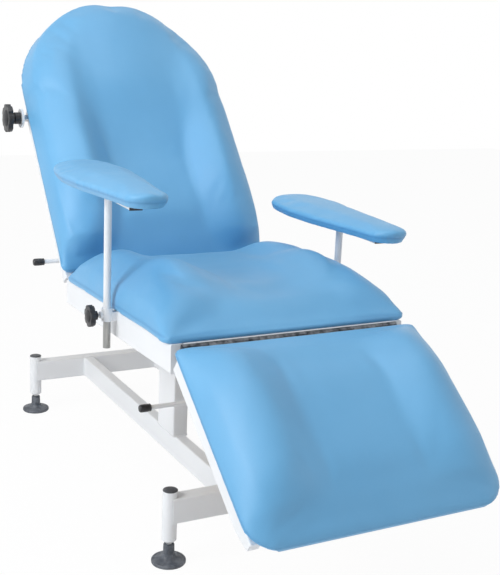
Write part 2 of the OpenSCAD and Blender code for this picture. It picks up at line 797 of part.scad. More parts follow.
/* Back rest */
moving_member_h = back_rail_h - leaf_t;
module back_rail(side) {
    color(powder_white) on_back()
        along_y(side * (seat_w - back_rail_w) / 2, back_rail_start, knuckle_r - back_rail_h / 2)
        closed_tube(back_rail_w, back_rail_h, back_rail_l, frame_wall);
}
module back_left_rail() {
    back_rail(-1);
}
module back_right_rail() {
    back_rail(1);
}
// A member between two rails of a moving frame, its top at the height w
module cross_member(rail_w, y, top, h) {
    inner = seat_w - 2 * rail_w;
    along_x(-inner / 2, y, top - h / 2) open_tube(seat_member_w, h, inner, frame_wall);
}
lever_w = knuckle_r - back_rail_h - fit_gap - lever_d / 2;
module back_lower_member() {
    ear_top = knuckle_r - back_rail_h;
    plate_y = back_lever_along + lever_d / 2 + fit_gap;
    shelf_w = ear_top + 2 * lever_plate_t;
    member_end = back_rail_start + seat_member_w;
    color(powder_white) on_back() {
        cross_member(back_rail_w, back_rail_start + seat_member_w / 2, knuckle_r - leaf_t, moving_member_h);
        translate([0, back_arm_along, -back_arm_drop]) {
            ears(-ear_r, 0, ear_r, back_arm_drop + ear_top + frame_wall / 2);
            ear_stubs();
        }
        translate([-lever_pivot_x - lever_plate_l / 2, member_end, shelf_w])
            cube([lever_plate_l, plate_y + lever_plate_t - member_end, lever_plate_t]);
        translate([-lever_pivot_x - lever_plate_l / 2, plate_y, lever_w - lever_eye_d / 2])
            cube([lever_plate_l, lever_plate_t, shelf_w - lever_w + lever_eye_d / 2]);
        translate([-lever_pivot_x, back_lever_along, lever_w]) lever_pin();
    }
}
// Short headed pins in a pair of ears, which leave the gap between the ears free
module ear_stubs() {
    both_sides() {
        rod_x(ear_x, ear_x + ear_t + fit_gap, spring_pin_d + 2 * run_clear);
        rod_x(ear_x + ear_t, ear_x + ear_t + 2 * fit_gap, spring_pin_d + 2 * ear_t);
    }
}
module back_upper_member() {
    color(powder_white) on_back() cross_member(back_rail_w,
        back_rail_start + back_rail_l - seat_member_w / 2, knuckle_r, back_rail_h);
}
module back_leaf() {
    color(zinc) on_back() rotate([0, 0, 180]) moving_leaf(leaf_w, back_rail_w);
}

// Accessory clamp on the left back rail: fixed stub, sliding washer and star knob
rail_side = seat_w / 2;
stub_w = knuckle_r - back_rail_h / 2;
washer_x = rail_side + washer_gap;
hub_x = washer_x + washer_t;
hub_l = 26;
hub_d = 34;
neck_l = 12;
neck_d = 26;
knob_cap_h = 6;
stub_in_hub = 6;
module at_stub() {
    on_back() translate([0, stub_along, stub_w]) mirror([1, 0, 0]) children();
}
module accessory_stub() {
    color(zinc) at_stub() rod_x(rail_side, hub_x + stub_in_hub, stub_d);
}
module accessory_washer() {
    color(powder_white) at_stub() difference() {
        rod_x(washer_x, hub_x, washer_d);
        rod_x(washer_x - cut_over, hub_x + cut_over, stub_d + 2 * run_clear);
    }
}
star_lobes = 7;
scallop_share = 0.24;
// A star grip along +X from the origin, with a low round cap
cap_share = 0.6;
module star(d, t, cap_h) {
    cap_d = d * cap_share;
    rotate([90, 0, 90]) {
        linear_extrude(t) difference() {
            circle(d = d);
            for (i = [0:star_lobes - 1]) {
                rotate(360 * i / star_lobes) translate([d / 2 * (1 + scallop_share / 2), 0])
                    circle(r = d / 2 * scallop_share);
            }
        }
        translate([0, 0, t]) cylinder(d1 = cap_d, d2 = cap_d - 2 * cap_h, h = cap_h);
    }
}
module accessory_knob() {
    bore_end = hub_x + stub_in_hub + accessory_travel + fit_gap;
    color(knob_black) at_stub() difference() {
        union() {
            rod_x(hub_x, hub_x + hub_l, hub_d);
            rod_x(hub_x + hub_l, hub_x + hub_l + neck_l, neck_d);
            translate([hub_x + hub_l + neck_l, 0, 0]) star(accessory_knob_d, accessory_knob_t, knob_cap_h);
        }
        rod_x(hub_x - cut_over, bore_end, stub_d + 2 * run_clear);
    }
}

// Release levers: an eye on the pin, a rod and a grip; reach is how far the grip's end is from the middle
module lever(reach) {
    difference() {
        union() {
            rod_x(-reach + grip_l, -lever_pivot_x, lever_d);
            translate([-lever_pivot_x, 0, 0]) rod_y(-lever_eye_w / 2, lever_eye_w / 2, lever_eye_d);
        }
        translate([-lever_pivot_x, 0, 0]) rod_y(-lever_eye_w, lever_eye_w, lever_pin_d + 2 * run_clear);
    }
}
module grip(reach) {
    rod_x(-reach, -reach + grip_l, grip_d);
}
module back_lever() {
    color(powder_white) on_back() translate([0, back_lever_along, lever_w]) lever(back_lever_reach);
}
module back_grip() {
    color(knob_black) on_back() translate([0, back_lever_along, lever_w]) grip(back_lever_reach);
}
module leg_lever() {
    color(powder_white) in_plan() translate([0, leg_lever_y, leg_lever_z]) lever(leg_lever_reach);
}
module leg_grip() {
    color(knob_black) in_plan() translate([0, leg_lever_y, leg_lever_z]) grip(leg_lever_reach);
}

/* Leg rest */
leg_member_h = 25;
leg_taper_l = 60;
leg_taper_h = 18;
leg_rail_x = (seat_w - leg_rail_w) / 2;
module leg_rail(side) {
    l = leg_rail_end - leg_rail_start;
    color(powder_white) on_leg() translate([side * leg_rail_x, 0, 0]) difference() {
        along_y(0, -leg_rail_end, knuckle_r - leg_rail_h / 2) linear_extrude(l)
            round_rect(leg_rail_w, leg_rail_h, tube_r);
        along_y(0, -leg_rail_end + leg_taper_l + frame_wall, knuckle_r - leg_rail_h / 2)
            linear_extrude(l - leg_taper_l - 2 * frame_wall)
            square([leg_rail_w - 2 * frame_wall, leg_rail_h - 2 * frame_wall], center = true);
        translate([0, -(leg_rail_start + leg_rail_end) / 2, knuckle_r - leg_rail_h])
            cylinder(d = vent_d, h = 2 * frame_wall + cut_over, center = true);
        translate([-leg_rail_w, -leg_rail_end + leg_taper_l, knuckle_r - leg_rail_h])
            rotate([-atan2(leg_taper_h, leg_taper_l), 0, 0]) translate([0, -far / 2, -far / 2])
            cube([2 * leg_rail_w, far / 2, far / 2]);
    }
}
module leg_left_rail() {
    leg_rail(-1);
}
module leg_right_rail() {
    leg_rail(1);
}
module leg_upper_member() {
    color(powder_white) on_leg() cross_member(leg_rail_w, -leg_rail_start - seat_member_w / 2,
        knuckle_r - leaf_t, moving_member_h);
}
module leg_middle_member() {
    color(powder_white) on_leg() {
        cross_member(leg_rail_w, -leg_arm_along, knuckle_r, leg_member_h);
        translate([0, -leg_arm_along, -leg_arm_drop]) {
            ears(-ear_r, 0, ear_r, leg_arm_drop + knuckle_r - leg_member_h + frame_wall / 2);
            ear_stubs();
        }
    }
}
module leg_leaf() {
    color(zinc) on_leg() moving_leaf(leg_rail_start + leaf_w - knuckle_d, leg_rail_w);
}

/* Armrests */
spigot_d = 14;
plug_l = 30;
arm_hub_d = 22;
module post(side, low_z) {
    top = low_z + post_l;
    color(powder_white) in_plan() translate([side * post_x, post_y, 0]) {
        difference() {
            translate([0, 0, low_z]) cylinder(d = post_d, h = post_l);
            translate([0, 0, low_z - cut_over])
                cylinder(d = post_d - 2 * post_wall, h = post_l - plug_l + cut_over);
        }
        translate([0, 0, top]) cylinder(d = spigot_d, h = arm_bar_h - base_wall - fit_gap);
    }
}
module on_arm(side, low_z, turn) {
    in_plan() translate([side * post_x, post_y, low_z + post_l]) rotate([0, 0, turn]) children();
}
module arm_bar() {
    color(powder_white) difference() {
        union() {
            along_y(0, -arm_bar_l / 2, arm_bar_h / 2) open_tube(arm_bar_w, arm_bar_h, arm_bar_l, base_wall);
            translate([0, 0, base_wall / 2]) cylinder(d = arm_hub_d, h = arm_bar_h - base_wall);
        }
        translate([0, 0, -cut_over])
            cylinder(d = spigot_d + 2 * run_clear, h = arm_bar_h - base_wall + cut_over);
    }
}
// Half widths of an armrest pad from its rear end to its front end, as shares of the greatest
arm_places_share = [0, 0.04, 0.12, 0.3, 0.5, 0.7, 0.88, 1];
arm_width_shares = [0.66, 0.74, 0.88, 1, 0.92, 0.72, 0.56, 0.48];
arm_rear_r = 48;
arm_front_r = 38;
arm_top_shares = [0.94, 0.8, 0.55, 0.2];
arm_rows = 14;
function arm_half_at(a) =
    lookup((arm_rear_l - a) / (arm_rear_l + arm_front_l), [for (i = [0:len(arm_places_share) - 1])
        [arm_places_share[i], arm_width_shares[i]]]) * arm_w / 2
    - corner_inset(arm_front_r, a + arm_front_l) - corner_inset(arm_rear_r, arm_rear_l - a);
arm_places = rows(-arm_front_l, arm_rear_l, arm_front_r, arm_rear_r, arm_rows, corner_rows);
// How far a turned armrest pad reaches past its post, away from the chair
function arm_reach(side, turn) = max([for (a = arm_places, e = [-1, 1])
    side * ((e * arm_half_at(a) - side * arm_inset) * cos(turn) - a * sin(turn))]);
side_shift = (arm_reach(-1, left_arm_turn) - arm_reach(1, right_arm_turn)) / 2;
arm_rim_share = 0.8;
module arm_pad(side) {
    rim = arm_t * arm_rim_share;
    color(vinyl_blue) translate([-side * arm_inset, 0, arm_bar_h])
        loft(arm_places, [for (a = arm_places) both_halves(right_points(arm_half_at(a), rim, arm_top_shares,
            [for (t = arm_top_shares) rim + (arm_t - rim) * crown(t)]))], rim / 2);
}
right_post_z = left_post_z - right_drop;
module left_post() {
    post(-1, left_post_z);
}
module right_post() {
    post(1, right_post_z);
}
module left_arm_bar() {
    on_arm(-1, left_post_z, left_arm_turn) arm_bar();
}
module right_arm_bar() {
    on_arm(1, right_post_z, right_arm_turn) arm_bar();
}
module left_arm_pad() {
    on_arm(-1, left_post_z, left_arm_turn) arm_pad(-1);
}
module right_arm_pad() {
    on_arm(1, right_post_z, right_arm_turn) arm_pad(1);
}

// Clamps of the posts: a screw whose tip presses on the post, and a star knob on it
boss_end = socket_d / 2 + boss_l;
clamp_hub_x = boss_end + 2 * clamp_travel + fit_gap;
clamp_hub_l = 9;
clamp_hub_d = 22;
clamp_cap_h = 4;
module at_clamp(side) {
    in_plan() translate([side * post_x, post_y, clamp_z]) mirror([side < 0 ? 1 : 0, 0, 0]) children();
}
module clamp_tip(side) {
    color(zinc) at_clamp(side)
        rod_x(post_d / 2 + seat_clear, clamp_hub_x + clamp_hub_l, clamp_screw_d);
}
module clamp_knob(side) {
    color(knob_black) at_clamp(side) difference() {
        union() {
            rod_x(clamp_hub_x, clamp_hub_x + clamp_hub_l, clamp_hub_d);
            translate([clamp_hub_x + clamp_hub_l, 0, 0]) star(clamp_knob_d, clamp_knob_t, clamp_cap_h);
        }
        rod_x(clamp_hub_x - cut_over, clamp_hub_x + clamp_hub_l + run_clear, clamp_screw_d + 2 * run_clear);
    }
}
module left_clamp_tip() {
    clamp_tip(-1);
}
module left_clamp_knob() {
    clamp_knob(-1);
}
module right_clamp_tip() {
    clamp_tip(1);
}
module right_clamp_knob() {
    clamp_knob(1);
}

/* Gas springs */
eye_d = 20;
neck_end = 18;
spring_neck_d = 14;
spring_wall = 1.5;
spring_cap = 6;
piston_l = 10;
back_piston_share = 0.72;
leg_piston_share = 0.5;
back_spring_end = back_point(back_arm_along, -back_arm_drop);
leg_spring_end = leg_point(leg_arm_along, -leg_arm_drop);
// Local +Y runs from the lower pivot to the pivot on the moving frame
module on_spring(from, to) {
    in_plan() translate([0, from[0], from[1]])
        rotate([atan2(to[1] - from[1], to[0] - from[0]), 0, 0]) children();
}
module spring_cylinder(l) {
    inner_d = spring_d - 2 * spring_wall;
    difference() {
        union() {
            rod_x(-eye_w / 2, eye_w / 2, eye_d);
            rod_y(0, neck_end, spring_neck_d);
            rod_y(neck_end, l, spring_d);
        }
        rod_x(-eye_w, eye_w, spring_pin_d + 2 * run_clear);
        rod_y(neck_end + spring_cap, l - spring_cap, inner_d);
        rod_y(l - spring_cap - cut_over, l + cut_over, spring_rod_d + 2 * run_clear);
    }
}
module spring_rod(piston_at, l) {
    inner_d = spring_d - 2 * spring_wall;
    difference() {
        union() {
            rod_y(piston_at, piston_at + piston_l, inner_d - 2 * run_clear);
            rod_y(piston_at, l, spring_rod_d);
            translate([0, l, 0]) rod_x(-eye_w / 2, eye_w / 2, eye_d);
        }
        translate([0, l, 0]) rod_x(-eye_w, eye_w, spring_pin_d + 2 * run_clear);
    }
}
module back_spring_cylinder() {
    color(spring_black) on_spring(back_spring_foot, back_spring_end) spring_cylinder(back_cylinder_l);
}
module back_spring_rod() {
    color(zinc) on_spring(back_spring_foot, back_spring_end)
        spring_rod(back_cylinder_l * back_piston_share, norm(back_spring_end - back_spring_foot));
}
module leg_spring_cylinder() {
    color(spring_black) on_spring(leg_spring_foot, leg_spring_end) spring_cylinder(leg_cylinder_l);
}
module leg_spring_rod() {
    color(zinc) on_spring(leg_spring_foot, leg_spring_end)
        spring_rod(leg_cylinder_l * leg_piston_share, norm(leg_spring_end - leg_spring_foot));
}

front_beam();
rear_beam();
left_long_beam();
right_long_beam();
left_column();
right_column();
spring_brace();
leg_tubes();
leg_caps();
front_left_foot();
front_right_foot();
rear_left_foot();
rear_right_foot();
saddle_tube();
seat_left_rail();
seat_right_rail();
seat_front_member();
seat_rear_member();
seat_board();
seat_pad();
seat_front_leaf();
seat_rear_leaf();
hinge_pins();
left_socket();
right_socket();
back_left_rail();
back_right_rail();
back_lower_member();
back_upper_member();
back_board();
back_pad();
back_leaf();
accessory_stub();
leg_left_rail();
leg_right_rail();
leg_upper_member();
leg_middle_member();
leg_board();
leg_pad();
leg_leaf();
left_post();
left_arm_bar();
left_arm_pad();
right_post();
right_arm_bar();
right_arm_pad();
left_clamp_tip();
left_clamp_knob();
right_clamp_tip();
right_clamp_knob();
accessory_washer();
accessory_knob();
back_lever();
back_grip();
leg_lever();
leg_grip();
back_spring_cylinder();
back_spring_rod();
leg_spring_cylinder();
leg_spring_rod();
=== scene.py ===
import math
import bpy
import numpy as np
from mathutils import Matrix, Vector, noise


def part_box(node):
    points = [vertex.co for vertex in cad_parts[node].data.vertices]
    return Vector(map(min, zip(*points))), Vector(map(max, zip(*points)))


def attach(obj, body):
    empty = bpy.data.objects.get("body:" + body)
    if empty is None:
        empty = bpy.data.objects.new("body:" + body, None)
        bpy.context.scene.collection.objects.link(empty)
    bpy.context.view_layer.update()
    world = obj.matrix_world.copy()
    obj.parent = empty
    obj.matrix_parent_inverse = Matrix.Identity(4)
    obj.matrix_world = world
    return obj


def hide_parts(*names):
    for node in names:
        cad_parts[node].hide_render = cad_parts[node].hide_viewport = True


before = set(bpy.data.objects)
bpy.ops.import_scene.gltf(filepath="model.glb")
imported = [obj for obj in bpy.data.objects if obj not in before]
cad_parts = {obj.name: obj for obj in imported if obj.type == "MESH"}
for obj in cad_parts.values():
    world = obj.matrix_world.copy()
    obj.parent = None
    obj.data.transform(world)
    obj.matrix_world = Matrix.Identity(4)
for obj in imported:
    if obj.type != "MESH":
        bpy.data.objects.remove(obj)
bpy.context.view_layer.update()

# The photograph's view of the chair, from in front of its left side and a little above the seat.
# The picture was held slightly askew, so the camera is rolled by a few degrees.
eye = Vector((-1.1622, -2.3626, 1.1676))
yaw, pitch, roll = (math.radians(a) for a in (-28.35, 13.75, 2.56))
look = Vector((-math.sin(yaw) * math.cos(pitch), math.cos(yaw) * math.cos(pitch), -math.sin(pitch)))
level = Vector((math.cos(yaw), math.sin(yaw), 0))
rise = level.cross(look)
across = level * math.cos(roll) + rise * math.sin(roll)
upward = rise * math.cos(roll) - level * math.sin(roll)
lens = bpy.data.cameras.new("view_of_the_chair")
lens.lens = 64.73
lens.sensor_width = 36
camera = bpy.data.objects.new("camera", lens)
camera.matrix_world = Matrix.Translation(eye) @ Matrix((across, upward, -look)).transposed().to_4x4()
bpy.context.collection.objects.link(camera)
bpy.context.scene.camera = camera
bpy.context.scene.view_settings.view_transform = "Standard"


def shader_node(tree, kind, wires=(), **values):
    """Adds a shader node, sets its properties or sockets from values, and joins (socket, source) pairs."""
    made = tree.nodes.new("ShaderNode" + kind)
    for name, value in values.items():
        if hasattr(made, name):
            setattr(made, name, value)
        else:
            made.inputs[name.replace("_", " ")].default_value = value
    for socket, source in wires:
        tree.links.new(source, made.inputs[socket])
    return made


# The white studio: three large soft lamps, pale light from all round and a paper floor that keeps
# the chair's shadow. Seen directly, in a reflection or through glass, the surroundings are white.
def is_seen_directly(tree):
    """1 for what the camera sees, directly or in a reflection or through glass."""
    path = shader_node(tree, "LightPath")
    first = shader_node(tree, "Math", [(0, path.outputs["Is Camera Ray"]), (1, path.outputs["Is Glossy Ray"])],
                        operation="MAXIMUM")
    return shader_node(tree, "Math", [(0, first.outputs[0]), (1, path.outputs["Is Transmission Ray"])],
                       operation="MAXIMUM").outputs[0]


def soft_lamp(name, place, size, power):
    """A large square lamp that looks at the middle of the chair."""
    lamp = bpy.data.lights.new(name, "AREA")
    lamp.size = size
    lamp.energy = power
    holder = bpy.data.objects.new(name, lamp)
    holder.location = place
    middle_of_chair = Vector((0, 0, 0.6))
    holder.rotation_euler = (middle_of_chair - Vector(place)).to_track_quat("-Z", "Y").to_euler()
    bpy.context.collection.objects.link(holder)


soft_lamp("left_window", (-3.5, -0.7, 2.5), size=2.0, power=96)
soft_lamp("ceiling_panel", (-0.6, -0.3, 4.2), size=3.0, power=46)
soft_lamp("right_fill", (3.4, -2.2, 1.8), size=2.6, power=14)

world = bpy.data.worlds.new("pale_studio")
world.use_nodes = True
bpy.context.scene.world = world
tree = world.node_tree
tree.nodes.clear()
studio_light = shader_node(tree, "Background", Color=(0.97, 0.98, 1.0, 1), Strength=0.36)
backdrop = shader_node(tree, "Background", Color=(1, 1, 1, 1), Strength=1.0)
mixed = shader_node(tree, "MixShader", [(0, is_seen_directly(tree)), (1, studio_light.outputs[0]),
                                        (2, backdrop.outputs[0])])
shader_node(tree, "OutputWorld", [("Surface", mixed.outputs[0])])

bpy.ops.object.select_all(action="DESELECT")
bpy.ops.mesh.primitive_plane_add(size=14, location=(0, 0, 0))
floor = bpy.context.active_object
floor.name = "studio_floor"
paper = bpy.data.materials.new("white_paper")
paper.use_nodes = True
tree = paper.node_tree
surface = tree.nodes["Principled BSDF"]
surface.inputs["Roughness"].default_value = 0.9
surface.inputs["Specular IOR Level"].default_value = 0.1
surface.inputs["Base Color"].default_value = (0.97, 0.97, 0.98, 1)
glow = shader_node(tree, "Emission", Color=(1, 1, 1, 1), Strength=1.0)
glow_share = 0.955
share = shader_node(tree, "Math", [(0, is_seen_directly(tree))], operation="MULTIPLY")
share.inputs[1].default_value = glow_share
mixed = shader_node(tree, "MixShader", [(0, share.outputs[0]), (1, surface.outputs[0]), (2, glow.outputs[0])])
tree.links.new(mixed.outputs[0], tree.nodes["Material Output"].inputs["Surface"])
floor.data.materials.append(paper)

# The welded frame: rectangular steel tube under white powder coat, which is baked on after welding
# and leaves a fine orange-peel skin. Base, columns, seat frame, back and leg frames are all of it.
mm = 0.001
middle_x, middle_y = -5.894 * mm, -80.405 * mm     # of the seat board


def effect(name, inputs, outputs):
    """An empty shader node group with its sockets, and its input and output nodes."""
    group = bpy.data.node_groups.new(name, "ShaderNodeTree")
    for label, kind, value in inputs:
        socket = group.interface.new_socket(label, in_out="INPUT", socket_type="NodeSocket" + kind)
        if value is not None:
            socket.default_value = value
    for label, kind in outputs:
        group.interface.new_socket(label, in_out="OUTPUT", socket_type="NodeSocket" + kind)
    return group, group.nodes.new("NodeGroupInput"), group.nodes.new("NodeGroupOutput")


# Colour that drifts slowly over a surface between two near tones
drift, given, out = effect("colour_drift", [
    ("Vector", "Vector", None), ("First", "Color", (1, 1, 1, 1)), ("Second", "Color", (1, 1, 1, 1)),
    ("Scale", "Float", 4.0)], [("Color", "Color")])
waves = shader_node(drift, "TexNoise", [("Vector", given.outputs["Vector"]), ("Scale", given.outputs["Scale"])],
                    Detail=4.0, Roughness=0.55)
mask = shader_node(drift, "MapRange", [("Value", waves.outputs[0])], interpolation_type="SMOOTHSTEP",
                   From_Min=0.3, From_Max=0.7)
tone = shader_node(drift, "Mix", [(0, mask.outputs[0]), (6, given.outputs["First"]), (7, given.outputs["Second"])],
                   data_type="RGBA")
drift.links.new(tone.outputs[2], out.inputs["Color"])

# Roughness that varies with handling and polish between two values
polish, given, out = effect("uneven_polish", [
    ("Vector", "Vector", None), ("Low", "Float", 0.3), ("High", "Float", 0.5), ("Scale", "Float", 20.0)],
    [("Roughness", "Float")])
waves = shader_node(polish, "TexNoise", [("Vector", given.outputs["Vector"]), ("Scale", given.outputs["Scale"])],
                    Detail=5.0, Roughness=0.6, Distortion=0.4)
level_of = shader_node(polish, "MapRange", [("Value", waves.outputs[0]), ("To Min", given.outputs["Low"]),
                                            ("To Max", given.outputs["High"])], From_Min=0.3, From_Max=0.7)
polish.links.new(level_of.outputs[0], out.inputs["Roughness"])

# The pebbled skin of a paint film or a moulded plastic: two sizes of soft bump
skin, given, out = effect("pebbled_skin", [("Vector", "Vector", None), ("Scale", "Float", 400.0)],
                          [("Height", "Float")])
coarse = shader_node(skin, "TexNoise", [("Vector", given.outputs["Vector"]), ("Scale", given.outputs["Scale"])],
                     Detail=2.0)
finer = shader_node(skin, "Math", [(0, given.outputs["Scale"])], operation="MULTIPLY")
finer.inputs[1].default_value = 2.7
fine = shader_node(skin, "TexNoise", [("Vector", given.outputs["Vector"]), ("Scale", finer.outputs[0])], Detail=1.0)
both = shader_node(skin, "Math", [(0, fine.outputs[0]), (2, coarse.outputs[0])], operation="MULTIPLY_ADD")
both.inputs[1].default_value = 0.4
skin.links.new(both.outputs[0], out.inputs["Height"])


def place_effect(tree, group, wires=(), **values):
    """Puts an effect into a material, with its own values."""
    made = tree.nodes.new("ShaderNodeGroup")
    made.node_tree = group
    for name, value in values.items():
        made.inputs[name].default_value = value
    for socket, source in wires:
        tree.links.new(source, made.inputs[socket])
    return made


def finish(name, first, second, low, high, drift_scale=5.0, polish_scale=30.0, skin_scale=500.0, skin_depth=0.04,
           metal=0.0):
    """A painted, moulded or plated surface: drifting colour, uneven polish and a pebbled skin."""
    made = bpy.data.materials.new(name)
    made.use_nodes = True
    tree = made.node_tree
    surface = tree.nodes["Principled BSDF"]
    where = shader_node(tree, "TexCoord").outputs["Object"]
    tone = place_effect(tree, drift, [("Vector", where)], First=(*first, 1), Second=(*second, 1), Scale=drift_scale)
    sheen = place_effect(tree, polish, [("Vector", where)], Low=low, High=high, Scale=polish_scale)
    pebbles = place_effect(tree, skin, [("Vector", where)], Scale=skin_scale)
    bump = shader_node(tree, "Bump", [("Height", pebbles.outputs[0])], Strength=0.35, Distance=skin_depth * mm)
    tree.links.new(tone.outputs["Color"], surface.inputs["Base Color"])
    tree.links.new(sheen.outputs[0], surface.inputs["Roughness"])
    tree.links.new(bump.outputs[0], surface.inputs["Normal"])
    surface.inputs["Metallic"].default_value = metal
    return made


def dress(node, material):
    """Gives a CAD node, whose shape is right as it is, its real finish."""
    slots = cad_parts[node].material_slots
    for one in slots:
        one.material = material
    if not slots:
        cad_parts[node].data.materials.append(material)


def fit_out(piece, body, material, slot, *nodes):
    """Gives a finished piece its material and its body, and hides the CAD nodes that it stands for. slot is not used.
    """
    piece.data.materials.clear()
    piece.data.materials.append(material)
    if nodes:
        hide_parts(*nodes)
    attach(piece, body)


def middle_of(node):
    """The middle of a CAD node's box."""
    return [(a + b) / 2 for a, b in zip(*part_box(node))]


white_coat = dict(first=(0.80, 0.825, 0.85), second=(0.83, 0.85, 0.87), low=0.34, high=0.46,
                  drift_scale=3.0, polish_scale=14.0, skin_scale=650.0, skin_depth=0.25)
powder_coat = finish("white_powder_coat", **white_coat)
for tube in ("front_beam", "rear_beam", "left_long_beam", "right_long_beam", "left_column", "right_column",
             "spring_brace", "leg_tubes", "saddle_tube", "seat_left_rail", "seat_right_rail", "seat_front_member",
             "seat_rear_member", "left_socket", "right_socket", "back_left_rail", "back_right_rail",
             "back_lower_member", "back_upper_member", "leg_left_rail", "leg_right_rail", "leg_upper_member",
             "leg_middle_member", "left_arm_bar", "right_arm_bar", "accessory_washer", "back_lever", "leg_lever"):
    dress(tube, powder_coat)

# Weld beads run round the ends of the tubes where they butt against one another.
# Each is a thin rounded fillet of steel, painted over with the rest of the frame.
def weld_bead(name, body, middle, across_size, up_size, facing):
    """A rounded rectangle of bead round a tube's end; facing is the matrix that turns it from the XY plane."""
    corner, thick = 5 * mm, 2.2 * mm
    bpy.ops.object.select_all(action="DESELECT")
    bpy.ops.mesh.primitive_torus_add(major_segments=48, minor_segments=8, major_radius=corner,
                                     minor_radius=thick, location=(0, 0, 0))
    bead = bpy.context.active_object
    bead.name = name
    bpy.ops.object.mode_set(mode="EDIT")
    for axis, size in ((0, across_size), (1, up_size)):
        for sign in (-1, 1):
            bpy.ops.mesh.select_all(action="DESELECT")
            bpy.ops.object.mode_set(mode="OBJECT")
            for v in bead.data.vertices:
                v.select = v.co[axis] * sign > 0.1 * mm
            bpy.ops.object.mode_set(mode="EDIT")
            step = [0, 0, 0]
            step[axis] = sign * (size / 2 - corner)
            bpy.ops.transform.translate(value=step)
    bpy.ops.object.mode_set(mode="OBJECT")
    bpy.ops.object.shade_smooth()
    bead.data.transform(Matrix.Translation(middle) @ facing)
    fit_out(bead, body, powder_coat, "white_enamel")


upright = Matrix.Rotation(math.radians(90), 4, "X")
for side in ("left", "right"):
    low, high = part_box(side + "_long_beam")
    x, _, z = middle_of(side + "_long_beam")
    for end, y in (("front", low.y), ("rear", high.y)):
        weld_bead(f"{side}_long_beam_{end}_weld", "frame", (x, y, z), high.x - low.x, high.z - low.z, upright)
    low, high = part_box(side + "_column")
    x, y, _ = middle_of(side + "_column")
    weld_bead(side + "_column_weld", "frame", (x, y, low.z), high.x - low.x, high.y - low.y, Matrix.Identity(4))

# Levelling feet and leg caps: a moulded dark grey disc with a cone hub on a plated threaded stem,
# which screws into the bush at the foot of each leg tube. A domed plug closes the tube's top.
def in_mm(*steps):
    """An outline that is given in millimetres."""
    return [(r * mm, z * mm) for r, z in steps]


def turned(name, steps, sides=48):
    """A turned piece about the Z axis. Its outline is given as (radius, height) steps from the bottom up."""
    bpy.ops.object.select_all(action="DESELECT")
    bpy.ops.mesh.primitive_circle_add(vertices=sides, radius=steps[0][0], fill_type="NGON",
                                      location=(0, 0, steps[0][1]))
    piece = bpy.context.active_object
    bpy.ops.object.transform_apply(location=True)
    piece.name = name
    bpy.ops.object.mode_set(mode="EDIT")
    bpy.ops.mesh.select_all(action="SELECT")
    for (r0, z0), (r1, z1) in zip(steps, steps[1:]):
        bpy.ops.mesh.extrude_region_move(TRANSFORM_OT_translate={"value": (0, 0, z1 - z0)})
        if r1 != r0:
            bpy.ops.transform.resize(value=(r1 / r0, r1 / r0, 1), center_override=(0, 0, z1))
    bpy.ops.mesh.select_all(action="SELECT")
    bpy.ops.mesh.normals_make_consistent(inside=False)
    bpy.ops.object.mode_set(mode="OBJECT")
    bpy.ops.object.shade_smooth_by_angle(angle=math.radians(32))
    return piece


def worked(piece, kind, **settings):
    """Works a piece with one modifier, which is applied to its mesh."""
    bpy.context.view_layer.objects.active = piece
    bpy.ops.object.modifier_add(type=kind)
    step = piece.modifiers[-1]
    for name, value in settings.items():
        setattr(step, name, value)
    bpy.ops.object.modifier_apply(modifier=step.name)


def soften(piece, width, angle, segments=2):
    """Rounds off the sharp edges, as moulding, bending or a coat of paint does."""
    worked(piece, "BEVEL", width=width, segments=segments, limit_method="ANGLE", angle_limit=math.radians(angle),
           use_clamp_overlap=True)


def joined(pieces, name):
    """Several meshes as one piece."""
    bpy.ops.object.select_all(action="DESELECT")
    for one in pieces:
        one.select_set(True)
    bpy.context.view_layer.objects.active = pieces[0]
    bpy.ops.object.join()
    pieces[0].name = name
    return pieces[0]


def copy_to(piece, name, placing):
    """A copy with its own mesh, set down where it belongs."""
    again = piece.copy()
    again.data = piece.data.copy()
    again.name = name
    again.data.transform(placing)
    bpy.context.collection.objects.link(again)
    return again


def thread(radius, pitch, start, turns):
    """The outline of a threaded stem: root and crest in turn."""
    root = radius * 0.86
    steps = []
    for i in range(turns):
        z = start + i * pitch
        steps += [(root, z), (root, z + pitch * 0.15), (radius, z + pitch * 0.5), (radius, z + pitch * 0.62)]
    return steps


foot_plastic = finish("mottled_grey_foot", (0.050, 0.060, 0.078), (0.150, 0.165, 0.190), 0.40, 0.60,
                      drift_scale=55.0, polish_scale=90.0, skin_scale=900.0, skin_depth=0.3)
cap_plastic = finish("dark_grey_plug", (0.050, 0.054, 0.062), (0.085, 0.090, 0.100), 0.38, 0.55,
                     drift_scale=60.0, polish_scale=90.0, skin_scale=1200.0, skin_depth=0.2)
plated_steel = finish("zinc_plated_steel", (0.52, 0.53, 0.54), (0.66, 0.66, 0.66), 0.22, 0.42,
                      drift_scale=45.0, polish_scale=120.0, skin_scale=1500.0, skin_depth=0.05, metal=1.0)
disc = turned("disc", in_mm((35.5, 0), (38.5, 0.8), (39.5, 2.4), (39.5, 6.6), (38.2, 8.6), (34.5, 9.6), (33.4, 9.2),
                            (24.6, 11.4), (19.0, 14.0), (15.6, 18.2), (15.2, 19.6), (13.4, 20.4), (13.0, 28),
                            (12.6, 44), (11.6, 45.6), (9.4, 46.2), (6.6, 46.2), (6.5, 45)), sides=64)
stem = turned("stem", thread(radius=6.0 * mm, pitch=1.75 * mm, start=42.5 * mm, turns=10) + in_mm((5, 61), (5, 91)),
              sides=32)
cap = turned("cap", in_mm((13.5, -12), (14.9, -10.5), (14.9, 0), (16.4, 0), (17, 0.5), (17, 1.5), (16.2, 2.4),
                          (13.4, 3.3), (9.5, 3.8), (9.1, 3.5), (4.5, 3.9), (0.6, 4.0)))
tube_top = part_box("leg_tubes")[1].z
caps = []
